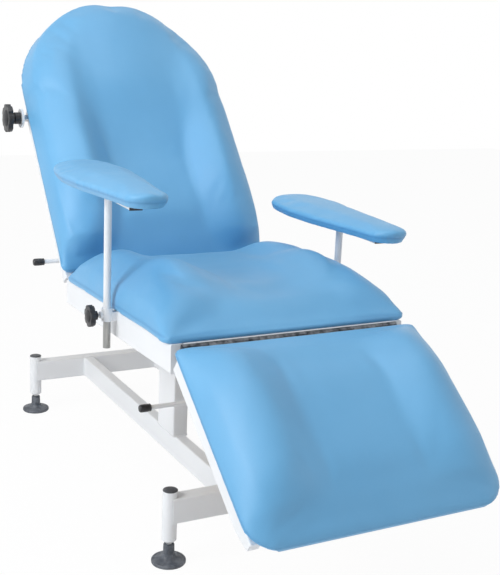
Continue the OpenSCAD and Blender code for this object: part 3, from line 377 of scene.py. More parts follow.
for name in ("front_left_foot", "front_right_foot", "rear_left_foot", "rear_right_foot"):
    x, y, _ = middle_of(name)
    spot = Matrix.Translation((x, y, 0))
    fit_out(copy_to(disc, name + "_disc", spot), name, foot_plastic, "foot_plastic", name)
    fit_out(copy_to(stem, name + "_stem", spot), name, plated_steel, "zinc_steel")
    caps.append(copy_to(cap, name + "_cap", spot @ Matrix.Translation((0, 0, tube_top))))
fit_out(joined(caps, "leg_end_caps"), "frame", cap_plastic, "foot_plastic", "leg_caps")
for done in (disc, stem, cap):
    bpy.data.objects.remove(done)

# Piano hinges: steel leaves whose knuckles are rolled round one long steel pin.
# They are fixed to the tubes with a row of plated screws that have a cross slot.
# The hinge steel is nearly black: painted shade for the narrow gap between the seat and the leg rest, where the hinge
# sits.
shade_dark_hinge_steel = finish("hinge_steel_in_painted_shade", (0.034, 0.038, 0.044), (0.17, 0.18, 0.195), 0.24, 0.46,
                     drift_scale=70.0, polish_scale=120.0, skin_scale=1500.0, skin_depth=0.08, metal=1.0)
for leaf in ("seat_front_leaf", "seat_rear_leaf", "back_leaf", "leg_leaf", "hinge_pins"):
    dress(leaf, shade_dark_hinge_steel)
dress("accessory_stub", plated_steel)
screw = turned("screw", in_mm((3.6, -0.6), (3.9, 0.1), (3.4, 0.7), (2.4, 1.0), (0.4, 1.1)), sides=24)
bpy.ops.object.select_all(action="DESELECT")
slot_size = (4.2 * mm, 0.8 * mm, 1.2 * mm)
slots_cut = []
for turn_by in (0, 90):
    bpy.ops.mesh.primitive_cube_add(size=1, location=(0, 0, 0.8 * mm), scale=slot_size,
                                    rotation=(0, 0, math.radians(turn_by)))
    bpy.ops.object.transform_apply(location=True, rotation=True, scale=True)
    slots_cut.append(bpy.context.active_object)
cross = joined(slots_cut, "cross_slot")


def cut_away(piece, tool):
    """Takes the tool's shape out of a piece, and the tool away."""
    bpy.ops.object.select_all(action="DESELECT")
    worked(piece, "BOOLEAN", operation="DIFFERENCE", solver="EXACT", use_self=True, object=tool)
    bpy.data.objects.remove(tool)


cut_away(screw, cross)
tilt = math.radians(1.6)
seat_board_top = 0.5095
on_seat = Matrix.Translation((middle_x, middle_y, seat_board_top)) @ Matrix.Rotation(-tilt, 4, "X")
screw_pitch, leaf_face, below_board = 98 * mm, 356 * mm, 20.5 * mm
for end, sign in (("front", -1), ("rear", 1)):
    heads = []
    for i in range(6):
        place = Matrix.Translation(((i - 2.5) * screw_pitch, sign * leaf_face, -below_board))
        facing = Matrix.Rotation(math.radians(-90 * sign), 4, "X")
        driven = Matrix.Rotation(math.radians(37 * i), 4, "Z")
        heads.append(copy_to(screw, f"{end}_hinge_screw_{i}", on_seat @ place @ facing @ driven))
    fit_out(joined(heads, end + "_hinge_screws"), "frame", plated_steel, "zinc_steel")

# Armrest posts: steel tube, powder coated except for the lower end that runs in the socket.
# A screw with a seven-lobed black knob on its head presses on the bare tube.
def coated_post(name, edge):
    """White powder coat down to the height edge, and bright drawn tube with fine marks below it."""
    made = finish(name, **white_coat)
    tree = made.node_tree
    surface = tree.nodes["Principled BSDF"]
    where = shader_node(tree, "TexCoord").outputs["Object"]
    height = shader_node(tree, "SeparateXYZ", [(0, where)]).outputs["Z"]
    fade = 0.4 * mm
    coat = shader_node(tree, "MapRange", [("Value", height)], From_Min=edge - fade, From_Max=edge + fade)
    streaks = shader_node(tree, "Mapping", [("Vector", where)], Scale=(1.0, 1.0, 0.06))
    bare = place_effect(tree, drift, [("Vector", streaks.outputs[0])], First=(0.30, 0.31, 0.31, 1),
                        Second=(0.44, 0.44, 0.43, 1), Scale=260.0)
    worn = place_effect(tree, polish, [("Vector", streaks.outputs[0])], Low=0.24, High=0.42, Scale=420.0)
    for socket, steel in (("Base Color", bare.outputs["Color"]), ("Roughness", worn.outputs[0])):
        paint = surface.inputs[socket].links[0].from_socket
        if socket == "Base Color":
            both = shader_node(tree, "Mix", [(0, coat.outputs[0]), (6, steel), (7, paint)], data_type="RGBA")
            tree.links.new(both.outputs[2], surface.inputs[socket])
        else:
            both = shader_node(tree, "Mix", [(0, coat.outputs[0]), (2, steel), (3, paint)])
            tree.links.new(both.outputs[0], surface.inputs[socket])
    metal = shader_node(tree, "Math", [(1, coat.outputs[0])], operation="SUBTRACT")
    metal.inputs[0].default_value = 1.0
    tree.links.new(metal.outputs[0], surface.inputs["Metallic"])
    return made


knob_plastic = finish("black_knob_plastic", (0.014, 0.015, 0.018), (0.024, 0.026, 0.030), 0.30, 0.46,
                      drift_scale=70.0, polish_scale=110.0, skin_scale=1400.0, skin_depth=0.2)


def star_knob(name, across, thick, cap_high, hub):
    """A moulded star grip along Z. hub is its turned lower part, from (radius, height) steps that end at zero."""
    bpy.ops.object.select_all(action="DESELECT")
    bpy.ops.mesh.primitive_cylinder_add(vertices=112, radius=across / 2, depth=thick, location=(0, 0, thick / 2))
    bpy.ops.object.transform_apply(location=True)
    star = bpy.context.active_object
    lobes, reach, hollow = 7, across / 2 * 1.12, across / 2 * 0.24
    cutters = []
    for i in range(lobes):
        a = math.radians(360 * i / lobes)
        bpy.ops.mesh.primitive_cylinder_add(vertices=40, radius=hollow, depth=thick * 1.5,
                                            location=(reach * math.cos(a), reach * math.sin(a), thick / 2))
        bpy.ops.object.transform_apply(location=True)
        cutters.append(bpy.context.active_object)
    cut_away(star, joined(cutters, "lobe_cutters"))
    soften(star, thick * 0.17, angle=35, segments=4)
    # Tops of the lobes fall away from the middle a little
    for v in star.data.vertices:
        r = math.hypot(v.co.x, v.co.y) / (across / 2)
        v.co.z += (thick / 2 - v.co.z) * 0.22 * max(0.0, r - 0.35)
    r = across * 0.3
    dome = turned("dome", [(r, thick - 1.5 * mm), (r, thick), (r - 0.9 * mm, thick + 0.8 * mm),
                           (r * 0.86, thick + cap_high * 0.42), (r * 0.62, thick + cap_high * 0.8),
                           (r * 0.3, thick + cap_high * 0.96), (0.4 * mm, thick + cap_high)], sides=56)
    base = turned("base", hub, sides=56)
    for one in (star, dome, base):
        bpy.ops.object.select_all(action="DESELECT")
        bpy.context.view_layer.objects.active = one
        one.select_set(True)
        bpy.ops.object.shade_smooth_by_angle(angle=math.radians(38))
    return joined([star, dome, base], name)


clamp_knob = star_knob("clamp_star", across=52 * mm, thick=14 * mm, cap_high=4 * mm, hub=in_mm(
    (9.2, -9), (10.6, -9), (11, -8.4), (11, -6.6), (10.2, -5.8), (10.4, -3), (13.0, -1), (17, 0.6), (17, 2)))
clamp_screw = turned("clamp_screw", in_mm((2.6, 9.3), (3.3, 10.2))
                     + thread(radius=4 * mm, pitch=1.25 * mm, start=10.6 * mm, turns=18) + in_mm((3.4, 34.4)), sides=28)
post_out, post_y = 323 * mm, middle_y - 24 * mm
clamp_height, knob_at = 0.50267, 34.5 * mm
for side, sign, coat_ends in (("left", -1, 0.494), ("right", 1, 0.386)):
    dress(side + "_post", coated_post(side + "_post_finish", coat_ends))
    outwards = Matrix.Translation((middle_x + sign * post_out, post_y, clamp_height)) \
        @ Matrix.Rotation(math.radians(90 * sign), 4, "Y")
    fit_out(copy_to(clamp_screw, side + "_clamp_screw", outwards), side + "_clamp_tip", plated_steel, "zinc_steel",
            side + "_clamp_tip")
    head = copy_to(clamp_knob, side + "_clamp_star", outwards @ Matrix.Translation((0, 0, knob_at)))
    fit_out(head, side + "_clamp_knob", knob_plastic, "black_plastic", side + "_clamp_knob")
for done in (clamp_knob, clamp_screw):
    bpy.data.objects.remove(done)

# Armrest bars: flat tube under each pad, with a pressed-in black plug at both ends.
# The bar turns on the post's spigot, and two screws hold the pad's board to it from below.
bpy.ops.object.select_all(action="DESELECT")
bpy.ops.mesh.primitive_cube_add(size=1, location=(0, 0.8 * mm, 0), scale=(30 * mm, 1.6 * mm, 15 * mm))
bpy.ops.object.transform_apply(location=True, scale=True)
plug = bpy.context.active_object
bpy.ops.object.mode_set(mode="EDIT")
bpy.ops.mesh.select_mode(type="FACE")
# The plug's inner end goes into the tube, and its outer end stands a little proud in the middle
for sign, rim, step in ((-1, 2.2 * mm, 9 * mm), (1, 3.5 * mm, 0.7 * mm)):
    bpy.ops.mesh.select_all(action="DESELECT")
    bpy.ops.object.mode_set(mode="OBJECT")
    for face in plug.data.polygons:
        face.select = face.normal.y * sign > 0.9
    bpy.ops.object.mode_set(mode="EDIT")
    bpy.ops.mesh.inset(thickness=rim)
    bpy.ops.mesh.extrude_region_move(TRANSFORM_OT_translate={"value": (0, sign * step, 0)})
bpy.ops.object.mode_set(mode="OBJECT")
soften(plug, 0.7 * mm, angle=40, segments=3)
bpy.ops.object.shade_smooth_by_angle(angle=math.radians(35))
toe, bar_end, bar_half = Matrix.Rotation(math.radians(-3), 4, "Z"), 199.9 * mm, 7.5 * mm
for side, sign, bar_low in (("left", -1, 0.788), ("right", 1, 0.68)):
    post_at = Matrix.Translation((middle_x + sign * post_out, post_y, bar_low + bar_half)) @ toe
    for end, turned_by in (("rear", 0), ("front", 180)):
        spot = post_at @ Matrix.Rotation(math.radians(turned_by), 4, "Z") @ Matrix.Translation((0, bar_end, 0))
        fit_out(copy_to(plug, f"{side}_bar_{end}_plug", spot), side + "_arm", knob_plastic, "black_plastic")
    heads, larger, upside_down = [], Matrix.Scale(1.25, 4), Matrix.Rotation(math.radians(180), 4, "X")
    for y in (-150, 120):
        spot = post_at @ Matrix.Translation((0, y * mm, -7.4 * mm)) @ upside_down
        heads.append(copy_to(screw, f"{side}_bar_screw_{y + 200}", spot @ larger))
    fit_out(joined(heads, side + "_bar_screws"), side + "_arm", plated_steel, "zinc_steel")
for done in (plug, screw):
    bpy.data.objects.remove(done)

# Upholstery vinyl on all five pads: a pale blue embossed sheet with a soft shine, pulled tight
# over moulded foam, with a sewn seam round the side band. The grain is a fine leather pebble.
grain, given, out = effect("leather_grain", [("Vector", "Vector", None), ("Scale", "Float", 700.0)],
                           [("Height", "Float"), ("Pits", "Float")])
bend = shader_node(grain, "TexNoise", [("Vector", given.outputs["Vector"])], Scale=160.0, Detail=2.0)
turn = shader_node(grain, "VectorMath", [(0, bend.outputs["Color"])], operation="SCALE")
turn.inputs["Scale"].default_value = 1.6 * mm
lay = shader_node(grain, "VectorMath", [(0, given.outputs["Vector"]), (1, turn.outputs[0])], operation="ADD")
cells = shader_node(grain, "TexVoronoi", [("Vector", lay.outputs[0]), ("Scale", given.outputs["Scale"])],
                    feature="DISTANCE_TO_EDGE")
pits = shader_node(grain, "MapRange", [("Value", cells.outputs["Distance"])], interpolation_type="SMOOTHSTEP",
                   From_Min=0.0, From_Max=0.22)
wrinkle = shader_node(grain, "TexNoise", [("Vector", given.outputs["Vector"])], Scale=90.0, Detail=3.0)
total = shader_node(grain, "Math", [(0, wrinkle.outputs[0]), (2, pits.outputs[0])], operation="MULTIPLY_ADD")
total.inputs[1].default_value = 1.4
grain.links.new(total.outputs[0], out.inputs["Height"])
grain.links.new(pits.outputs[0], out.inputs["Pits"])

vinyl = bpy.data.materials.new("pale_blue_vinyl")
vinyl.use_nodes = True
tree = vinyl.node_tree
surface = tree.nodes["Principled BSDF"]
where = shader_node(tree, "TexCoord").outputs["Object"]
tone = place_effect(tree, drift, [("Vector", where)], First=(0.136, 0.418, 0.708, 1), Second=(0.150, 0.444, 0.740, 1),
                    Scale=3.5)
pebble = place_effect(tree, grain, [("Vector", where)], Scale=850.0)
seam = shader_node(tree, "Attribute", attribute_name="seam")
# The grain's pits darken the vinyl's colour: painted shade in the hollows of the grain.
pit_shade = shader_node(tree, "Mix", [(6, tone.outputs["Color"])], data_type="RGBA", blend_type="MULTIPLY")
tree.links.new(shader_node(tree, "MapRange", [("Value", pebble.outputs["Pits"])], To_Min=0.22, To_Max=0.0).outputs[0],
               pit_shade.inputs[0])
pit_shade.inputs[7].default_value = (0.62, 0.72, 0.82, 1)
# The seam groove darkens the vinyl's colour: painted shade in the groove.
seam_shade = shader_node(tree, "Mix", [(6, pit_shade.outputs[2])], data_type="RGBA", blend_type="MULTIPLY")
tree.links.new(seam.outputs["Fac"], seam_shade.inputs[0])
seam_shade.inputs[7].default_value = (0.66, 0.74, 0.82, 1)
sheen = place_effect(tree, polish, [("Vector", where)], Low=0.40, High=0.50, Scale=9.0)
bump = shader_node(tree, "Bump", [("Height", pebble.outputs["Height"])], Strength=0.5, Distance=0.12 * mm)
tree.links.new(seam_shade.outputs[2], surface.inputs["Base Color"])
tree.links.new(sheen.outputs[0], surface.inputs["Roughness"])
tree.links.new(bump.outputs[0], surface.inputs["Normal"])
surface.inputs["Specular IOR Level"].default_value = 0.62
surface.inputs["Sheen Weight"].default_value = 0.08
surface.inputs["Sheen Roughness"].default_value = 0.4


def rows_of(vertices, what):
    """The vertices' places (co) or their normals (vector) as rows of a table."""
    flat = np.empty(len(vertices) * 3)
    vertices.foreach_get(what, flat)
    return flat.reshape(-1, 3)


def ease(value, low, high):
    """0 up to low and 1 from high on, with a soft step between; low may be the greater one."""
    share = np.clip((value - low) / (high - low), 0, 1)
    return share * share * (3 - 2 * share)


def hump(value, middle, reach):
    """A soft ridge, 1 at the middle and 0 from reach on."""
    return 0.5 + 0.5 * np.cos(np.pi * np.clip((value - middle) / reach, -1, 1))


def evened(mesh, values, passes):
    """Rows of values averaged with their neighbours' over the mesh, so that no pucker is left."""
    ends = np.empty(len(mesh.edges) * 2, dtype=np.int64)
    mesh.edges.foreach_get("vertices", ends)
    first, second = ends.reshape(-1, 2).T
    size = len(mesh.vertices)
    count = np.bincount(first, minlength=size) + np.bincount(second, minlength=size)
    for _ in range(passes):
        total = [np.bincount(first, column[second], size) + np.bincount(second, column[first], size)
                 for column in values.T]
        values = 0.5 * values + 0.5 * np.stack(total, axis=1) / count[:, None]
    return values


def edge_of(side):
    """0 over the middle of a cushion, 1 at its right side and -1 at its left side."""
    return ease(np.abs(side), 200 * mm, 290 * mm) * np.sign(side)


def swell(piece, held, limit):
    """Blows a cushion up with cloth pressure. Held vertices stay, and the others move by limit at most."""
    frames, passes, raw_share = 20, 14, 0.2
    start = rows_of(piece.data.vertices, "co")
    grip = piece.vertex_groups.new(name="held")
    grip.add([int(i) for i in np.nonzero(held)[0]], 1.0, "REPLACE")
    bpy.ops.object.modifier_add(type="CLOTH")
    cloth = piece.modifiers[-1]
    rules = cloth.settings
    rules.quality = 4
    rules.mass = 0.3
    rules.tension_stiffness = rules.compression_stiffness = 15
    rules.shear_stiffness = 5
    rules.bending_stiffness = 4
    rules.use_pressure = True
    rules.uniform_pressure_force = 4
    rules.vertex_group_mass = "held"
    rules.effector_weights.gravity = 0
    for step in range(1, frames + 1):
        bpy.context.scene.frame_set(step)
    evaluated = piece.evaluated_get(bpy.context.evaluated_depsgraph_get())
    blown = evaluated.to_mesh()
    move = rows_of(blown.vertices, "co") - start
    evaluated.to_mesh_clear()
    bpy.ops.object.modifier_remove(modifier=cloth.name)
    # The skin is stiffer than the cloth: most of the puckers go, and the swell levels off at the limit
    smooth = evened(piece.data, move, passes)
    move = np.where(held[:, None], 0, smooth + raw_share * (move - smooth))
    far = np.maximum(np.linalg.norm(move, axis=1), 1e-9)
    move *= (limit * np.tanh(far / limit) / far)[:, None]
    piece.data.vertices.foreach_set("co", (start + move).ravel())
    piece.data.update()
    bpy.context.scene.frame_set(1)


def bare_copy(node, name):
    """A CAD node's mesh as a new, selected piece without the frame's own marks."""
    bpy.ops.object.select_all(action="DESELECT")
    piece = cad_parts[node].copy()
    piece.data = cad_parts[node].data.copy()
    for key in list(piece.keys()):
        del piece[key]
    piece.name = name
    piece.parent = None
    piece.hide_render = piece.hide_viewport = False
    bpy.context.collection.objects.link(piece)
    bpy.context.view_layer.objects.active = piece
    piece.select_set(True)
    return piece


one_point = 0.02 * mm       # vertices that are closer are one
stapled = 14 * mm           # up to this height over its board a cushion's side is pulled tight


def upholster(node, body, name, seat_of, form, voxel=7 * mm, limit=14 * mm, seam_at=15 * mm):
    """A foam cushion in vinyl from a CAD pad. seat_of is (place, along, normal) of the board's face under it,
    and form gives what the moulded foam adds at (side, along, height) in those three directions."""
    piece = bare_copy(node, name)
    bpy.ops.object.mode_set(mode="EDIT")
    bpy.ops.mesh.select_all(action="SELECT")
    bpy.ops.mesh.remove_doubles(threshold=one_point)
    bpy.ops.object.mode_set(mode="OBJECT")
    place, along, normal = (np.array(v, float) for v in seat_of)
    worked(piece, "REMESH", mode="VOXEL", voxel_size=voxel)
    # The underside lies flat, and the moulded foam above the board has no facets
    points = rows_of(piece.data.vertices, "co")
    height = (points - place) @ normal
    flat = np.abs(height) < 0.6 * voxel
    points[flat] -= height[flat, None] * normal
    above = ease(height, 12 * mm, 18 * mm)[:, None]
    points += (evened(piece.data, points, 12) - points) * above
    height = (points - place) @ normal
    aside, onward, raised = form(points[:, 0] - place[0], (points - place) @ along, height)
    points += (np.stack([aside, 0 * height, 0 * height], axis=1)
               + onward[:, None] * along + raised[:, None] * normal)
    piece.data.vertices.foreach_set("co", points.ravel())
    piece.data.update()
    swell(piece, height < stapled, limit)
    worked(piece, "SUBSURF", levels=1, render_levels=1)
    points = rows_of(piece.data.vertices, "co")
    outward = rows_of(piece.data.vertex_normals, "vector")
    height = (points - place) @ normal
    sideways = np.clip((0.75 - np.abs(outward @ normal)) / 0.35, 0, 1)
    seam_width, seam_depth, unevenness = 2.6 * mm, 0.6 * mm, 1.1 * mm
    groove = np.exp(-((height - seam_at) / seam_width) ** 2) * sideways
    points -= outward * (groove * seam_depth)[:, None]
    # The cover lies with small uneven tensions, not as a perfect form
    free = np.clip((height - 4 * mm) / (20 * mm), 0, 1)
    uneven = np.array([noise.noise(Vector(p) * 9) + 0.35 * noise.noise(Vector(p) * 31) for p in points])
    points += outward * (uneven * free * unevenness)[:, None]
    if node == "seat_pad":
        # It clears the armrest posts and their sockets, and overhangs the rails a little elsewhere
        beside_post, overhang = 308.8, 12
        room = (beside_post + overhang * ease(np.abs(points[:, 1] - post_y), 40 * mm, 100 * mm)) * mm
        points[:, 0] = np.clip(points[:, 0], middle_x - room, middle_x + room)
    piece.data.vertices.foreach_set("co", points.ravel())
    # The groove is kept as the seam attribute, which the vinyl uses for painted shade in the groove.
    mark = piece.data.attributes.new("seam", "FLOAT", "POINT")
    mark.data.foreach_set("value", np.ascontiguousarray(np.clip(groove, 0, 1), np.float32))
    piece.data.update()
    bpy.ops.object.shade_smooth()
    fit_out(piece, body, vinyl, "vinyl", node)


# Seat: a moulded cushion with two thigh mounds on a plywood board between the side rails.
# The vinyl is stapled under the board's edge, and the board is screwed to the seat frame.
def seat_form(side, along, height):
    crown_high, mound_high, valley_deep, wider, longer = 12 * mm, 22 * mm, 12 * mm, 8 * mm, 4 * mm
    free = ease(height, stapled, 40 * mm)
    crown = ease(along, 337 * mm, 270 * mm) * ease(along, -350 * mm, -270 * mm)
    mound = hump(np.abs(side), 236 * mm, 120 * mm) * ease(along, 330 * mm, 150 * mm) * ease(along, -335 * mm, -180 * mm)
    valley = hump(side, 0, 110 * mm) * hump(along, -60 * mm, 300 * mm)
    spread = edge_of(side) * (free * wider + wider * ease(along, -200 * mm, -330 * mm))
    # On the right the mound runs on to the rear in one arc
    filled, lowered = 9 * mm * hump(along, 35 * mm, 150 * mm), 5 * mm * hump(along, 215 * mm, 100 * mm)
    arc = ease(side, 190 * mm, 262 * mm) * (filled - lowered)
    return (spread, longer * ease(along, -300 * mm, -350 * mm),
            free * (crown_high * crown + mound_high * mound - valley_deep * valley + arc))


seat_normal = (0, math.sin(tilt), math.cos(tilt))
seat_top = ((middle_x, middle_y, seat_board_top), (0, math.cos(tilt), -math.sin(tilt)), seat_normal)
upholster("seat_pad", "frame", "seat_cushion", seat_top, seat_form)


# Back rest: a long cushion with side bolsters and a round top, on its own tube frame that swings
# on the rear hinge. A round-topped plywood board carries it.
def back_form(side, along, height):
    bolster_high, crown_high, fold_deep, wider, tucked, longer = 42 * mm, 17 * mm, 1.5 * mm, 20 * mm, 7 * mm, 16 * mm
    free = ease(height, stapled, 40 * mm)
    # The crease beside each bolster comes in to the waist, and the bolsters merge in the crowned shoulder
    crease = (112 + 55 * ((along / mm - 270) / 290) ** 2) * mm
    outer = ease(np.abs(side), crease, crease + 105 * mm)
    fold = hump(np.abs(side), crease, 36 * mm) * ease(along, 40 * mm, 140 * mm) * ease(along, 560 * mm, 380 * mm)
    lift = outer * ease(along, 12 * mm, 100 * mm) + (1 - outer) * ease(along, 320 * mm, 600 * mm)
    crown = hump(side, 0, 230 * mm) * ease(along, 440 * mm, 660 * mm)
    spread = hump(height, 70 * mm, 52 * mm) * edge_of(side)
    tuck = ease(height, 16 * mm, 0) * edge_of(side) * ease(along, 20 * mm, 100 * mm)
    return (wider * spread * ease(along, 10 * mm, 60 * mm) - tucked * tuck,
            longer * free * ease(along, 650 * mm, 880 * mm),
            free * (bolster_high * lift + crown_high * crown - fold_deep * fold))


half_board = 6      # millimetres, from a board's middle to its face
lean = math.radians(49.9)
back_normal = Vector((0, -math.sin(lean), math.cos(lean)))
back_foot = Vector((middle_x, 0.278788, 0.493465)) + back_normal * half_board * mm
upholster("back_pad", "back", "back_cushion", (back_foot, (0, math.cos(lean), math.sin(lean)), back_normal), back_form)


# Leg rest: a dished cushion with rounded lower corners, on a tapering frame that swings on the
# front hinge. Its board is screwed to the frame's cross members.
def leg_form(side, along, height):
    lifted, bolster_high, tucked, further_up = 4 * mm, 30 * mm, 7 * mm, 7 * mm
    shorter, shorter_above = 6 * mm, 5 * mm
    free = ease(height, stapled, 40 * mm)
    bolster = hump(np.abs(side), 238 * mm, 140 * mm) * ease(along, 20 * mm, 190 * mm) * ease(along, 490 * mm, 350 * mm)
    return (-tucked * ease(height, 16 * mm, 0) * edge_of(side),
            further_up * ease(along, 60 * mm, 12 * mm)
            - (shorter + shorter_above * free) * ease(along, 380 * mm, 500 * mm),
            free * (lifted + bolster_high * bolster) * ease(along, 10 * mm, 60 * mm) * ease(along, 500 * mm, 430 * mm))


drop = math.radians(36.4)
leg_normal = Vector((0, -math.sin(drop), math.cos(drop)))
leg_foot = Vector((middle_x, -0.439932, 0.51354)) + leg_normal * half_board * mm
upholster("leg_pad", "leg", "leg_cushion", (leg_foot, (0, -math.cos(drop), -math.sin(drop)), leg_normal), leg_form)


# Armrests: long thin cushions that widen towards the elbow, of the same vinyl over firmer foam.
# Each is fixed to the flat bar on top of its post.
def arm_form(side, along, height):
    wider, longer, higher = 2 * mm, 8 * mm, 5 * mm
    free = ease(height, 5 * mm, 20 * mm)
    return wider * free * np.sign(side), longer * free * ease(along, 100 * mm, 220 * mm), higher * free


for side, bar_top in (("left", 0.803), ("right", 0.695)):
    x, _, _ = middle_of(side + "_arm_pad")
    upholster(side + "_arm_pad", side + "_arm", side + "_arm_cushion", ((x, middle_y, bar_top), (0, -1, 0), (0, 0, 1)),
              arm_form, voxel=4 * mm, limit=7 * mm, seam_at=13 * mm)

# Accessory clamp on the back rest's left rail: a steel stub, a white pressure washer and a large star knob
# with a stepped hub. It holds a pole or a tray between the washer and the rail.
accessory = star_knob("accessory_star", across=80 * mm, thick=16 * mm, cap_high=6 * mm, hub=in_mm(
    (14.5, -27), (16.4, -27), (17, -26.2), (17, -10.2), (16.2, -9.2), (13, -8.6), (12.6, -6), (13.2, -3),
    (19, -0.6), (26, 0.8), (26, 2)))
_, y, z = middle_of("accessory_stub")
accessory.data.transform(Matrix.Translation((middle_x - 351 * mm, y, z))
                         @ Matrix.Rotation(math.radians(-90), 4, "Y") @ Matrix.Rotation(math.radians(-16), 4, "Z"))
fit_out(accessory, "accessory_knob", knob_plastic, "black_plastic", "accessory_knob")

# Release levers: a white rod on a pin, with a moulded black grip pushed over its end.
# The upper one frees the back's gas spring and the lower one the leg rest's.
grip = turned("grip", in_mm((6.4, 0), (9.0, 0), (9.6, 0.6), (9.8, 2.4), (9.2, 3.0), (9.3, 4.2), (9.8, 8), (10, 16),
                            (9.9, 24), (9.3, 27.4), (7.6, 29.3), (5.0, 29.9), (0.5, 30)))
for lever in ("back", "leg"):
    _, y, z = middle_of(lever + "_grip")
    spot = Matrix.Translation((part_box(lever + "_grip")[1].x, y, z)) @ Matrix.Rotation(math.radians(-90), 4, "Y")
    fit_out(copy_to(grip, lever + "_lever_grip", spot), lever + "_lever", knob_plastic, "black_plastic",
            lever + "_grip")
bpy.data.objects.remove(grip)

# Gas springs: a black lacquered cylinder rolled in over its seal, and a hard-chromed rod.
# Each works between the base and its moving frame and is locked until its lever is pressed.
lacquer = finish("black_cylinder_lacquer", (0.020, 0.020, 0.022), (0.030, 0.030, 0.032), 0.26, 0.38,
                 drift_scale=30.0, polish_scale=60.0, skin_scale=800.0, skin_depth=0.2)
chrome = finish("hard_chrome_rod", (0.60, 0.61, 0.62), (0.68, 0.69, 0.70), 0.08, 0.20,
                drift_scale=60.0, polish_scale=200.0, skin_scale=2500.0, skin_depth=0.02, metal=1.0)
# Each is set down from its lower and its upper eye and the cylinder's length, in millimetres
for spring, foot_y, foot_z, end_y, end_z, long in (("back", -0.405, 400, 360.513, 450.792, 200),
                                                   ("leg", -125.405, 240, -555.142, 366.48, 270)):
    dress(spring + "_spring_cylinder", lacquer)
    dress(spring + "_spring_rod", chrome)
    away = Vector((0, end_y - foot_y, end_z - foot_z)).normalized()
    turn_to = away.to_track_quat("Z", "X").to_matrix().to_4x4()
    root = Matrix.Translation((middle_x, foot_y * mm, foot_z * mm)) @ turn_to
    radius = 14
    bands = []
    for at, wide in ((long - 13, 3.0), (long - 5, 1.6), (26, 2.0)):
        band = turned("band", in_mm((radius - 0.6, 0), (radius + 0.5, wide * 0.25), (radius + 0.7, wide * 0.5),
                                    (radius + 0.5, wide * 0.75), (radius - 0.6, wide)), sides=40)
        band.data.transform(root @ Matrix.Translation((0, 0, at * mm)))
        bands.append(band)
    fit_out(joined(bands, spring + "_spring_rolled_bands"), spring + "_spring_cylinder", lacquer, "black_enamel")
    seal = turned(spring + "_spring_seal", in_mm((9.4, -0.5), (9.4, 0.8), (8.8, 1.6), (6.2, 2.2), (5.2, 2.4)), sides=32)
    seal.data.transform(root @ Matrix.Translation((0, 0, long * mm)))
    fit_out(seal, spring + "_spring_cylinder", knob_plastic, "black_plastic")

# Pad boards: beech plywood whose face veneer runs along the chair, cut to each pad's outline.
# They lie on the frames' cross members and are screwed down from below.
def plywood_of(name, angle):
    """Face veneer with long grain; angle turns it to the board."""
    made = bpy.data.materials.new(name)
    made.use_nodes = True
    tree = made.node_tree
    surface = tree.nodes["Principled BSDF"]
    where = shader_node(tree, "TexCoord").outputs["Object"]
    laid = shader_node(tree, "Mapping", [("Vector", where)], Rotation=(angle, 0, 0))
    long_grain = shader_node(tree, "Mapping", [("Vector", laid.outputs[0])], Scale=(1.0, 0.05, 1.0))
    figure = place_effect(tree, drift, [("Vector", long_grain.outputs[0])], First=(0.50, 0.33, 0.18, 1),
                          Second=(0.62, 0.45, 0.27, 1), Scale=75.0)
    pores = shader_node(tree, "TexNoise", [("Vector", long_grain.outputs[0])], Scale=900.0, Detail=2.0)
    dark = shader_node(tree, "MapRange", [("Value", pores.outputs[0])], From_Min=0.52, From_Max=0.72, To_Max=0.35)
    veneer = shader_node(tree, "Mix", [(0, dark.outputs[0]), (6, figure.outputs["Color"])], data_type="RGBA",
                         blend_type="MULTIPLY")
    veneer.inputs[7].default_value = (0.55, 0.40, 0.28, 1)
    worn = place_effect(tree, polish, [("Vector", long_grain.outputs[0])], Low=0.55, High=0.75, Scale=40.0)
    bump = shader_node(tree, "Bump", [("Height", pores.outputs[0])], Strength=0.4, Distance=0.15 * mm)
    tree.links.new(veneer.outputs[2], surface.inputs["Base Color"])
    tree.links.new(worn.outputs[0], surface.inputs["Roughness"])
    tree.links.new(bump.outputs[0], surface.inputs["Normal"])
    return made


for board, angle in (("seat_board", tilt), ("back_board", -lean), ("leg_board", drop)):
    dress(board, plywood_of(board + "_beech", angle))


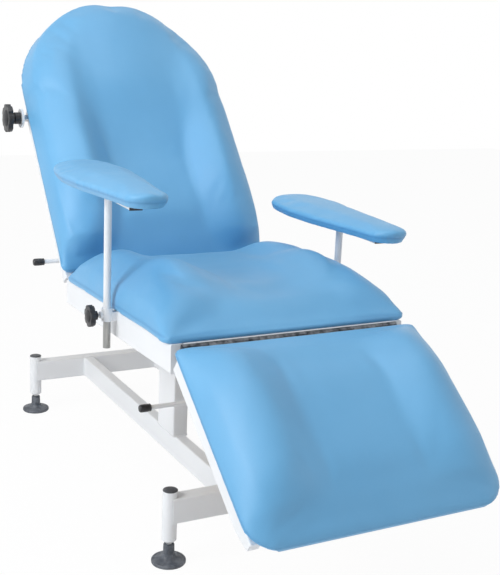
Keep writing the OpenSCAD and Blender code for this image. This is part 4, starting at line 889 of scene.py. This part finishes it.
# Under each board: the vinyl is turned in over the board's edge and stapled down in a close row.
# The strip is the same sheet as the cushion's, and the staples are plated wire.
def turn_under(board, body, normal):
    """A strip of vinyl round the board's underside with its staples, found from the board's own outline."""
    strip = bare_copy(board, board + "_turned_vinyl")
    normal = Vector(normal)
    width, overlap, thick = 29 * mm, 8 * mm, 1.2 * mm
    staple_gap, staple_inset = 46 * mm, 9 * mm
    for face in strip.data.polygons:
        face.select = face.normal.dot(normal) > -0.9
    bpy.ops.object.mode_set(mode="EDIT")
    bpy.ops.mesh.select_mode(type="FACE")
    bpy.ops.mesh.delete(type="FACE")
    bpy.ops.mesh.select_all(action="SELECT")
    bpy.ops.mesh.remove_doubles(threshold=one_point)
    bpy.ops.mesh.dissolve_limited(angle_limit=math.radians(2))
    bpy.ops.object.mode_set(mode="OBJECT")
    # The outline runs round the one face that is left
    rim = [strip.data.vertices[i].co.copy() for i in max(strip.data.polygons, key=lambda f: f.area).vertices]
    bpy.ops.object.mode_set(mode="EDIT")
    bpy.ops.mesh.select_all(action="SELECT")
    bpy.ops.mesh.inset(thickness=overlap, use_outset=True)
    bpy.ops.mesh.inset(thickness=width)
    bpy.ops.mesh.delete(type="FACE")
    bpy.ops.mesh.select_all(action="SELECT")
    bpy.ops.mesh.extrude_region_move(TRANSFORM_OT_translate={"value": tuple(-thick * normal)})
    bpy.ops.mesh.select_all(action="SELECT")
    bpy.ops.mesh.normals_make_consistent(inside=False)
    bpy.ops.object.mode_set(mode="OBJECT")
    soften(strip, 0.4 * mm, angle=50)
    mark = strip.data.attributes.new("seam", "FLOAT", "POINT")
    mark.data.foreach_set("value", np.zeros(len(strip.data.vertices), np.float32))
    fit_out(strip, body, vinyl, "vinyl")
    centre = sum(rim, Vector()) / len(rim)
    wires, left = [], 0.0
    for first, second in zip(rim, rim[1:] + rim[:1]):
        run = (second - first).length
        direction = (second - first) / run
        inward = direction.cross(normal)
        if inward.dot(centre - first) < 0:
            inward = -inward
        while left < run:
            place = Matrix.Translation(first + direction * left + inward * staple_inset - normal * thick)
            facing = Matrix((direction, inward, normal)).transposed().to_4x4()
            wires.append(copy_to(staple, "staple", place @ facing))
            left += staple_gap
        left -= run
    fit_out(joined(wires, board + "_staples"), body, plated_steel, "zinc_steel")


bpy.ops.object.select_all(action="DESELECT")
bpy.ops.mesh.primitive_cube_add(size=1, location=(0, 0, -0.1 * mm), scale=(11 * mm, 1.1 * mm, 1.0 * mm))
bpy.ops.object.transform_apply(location=True, scale=True)
staple = bpy.context.active_object
soften(staple, 0.35 * mm, angle=40)
turn_under("seat_board", "frame", seat_normal)
turn_under("back_board", "back", back_normal)
turn_under("leg_board", "leg", leg_normal)
bpy.data.objects.remove(staple)
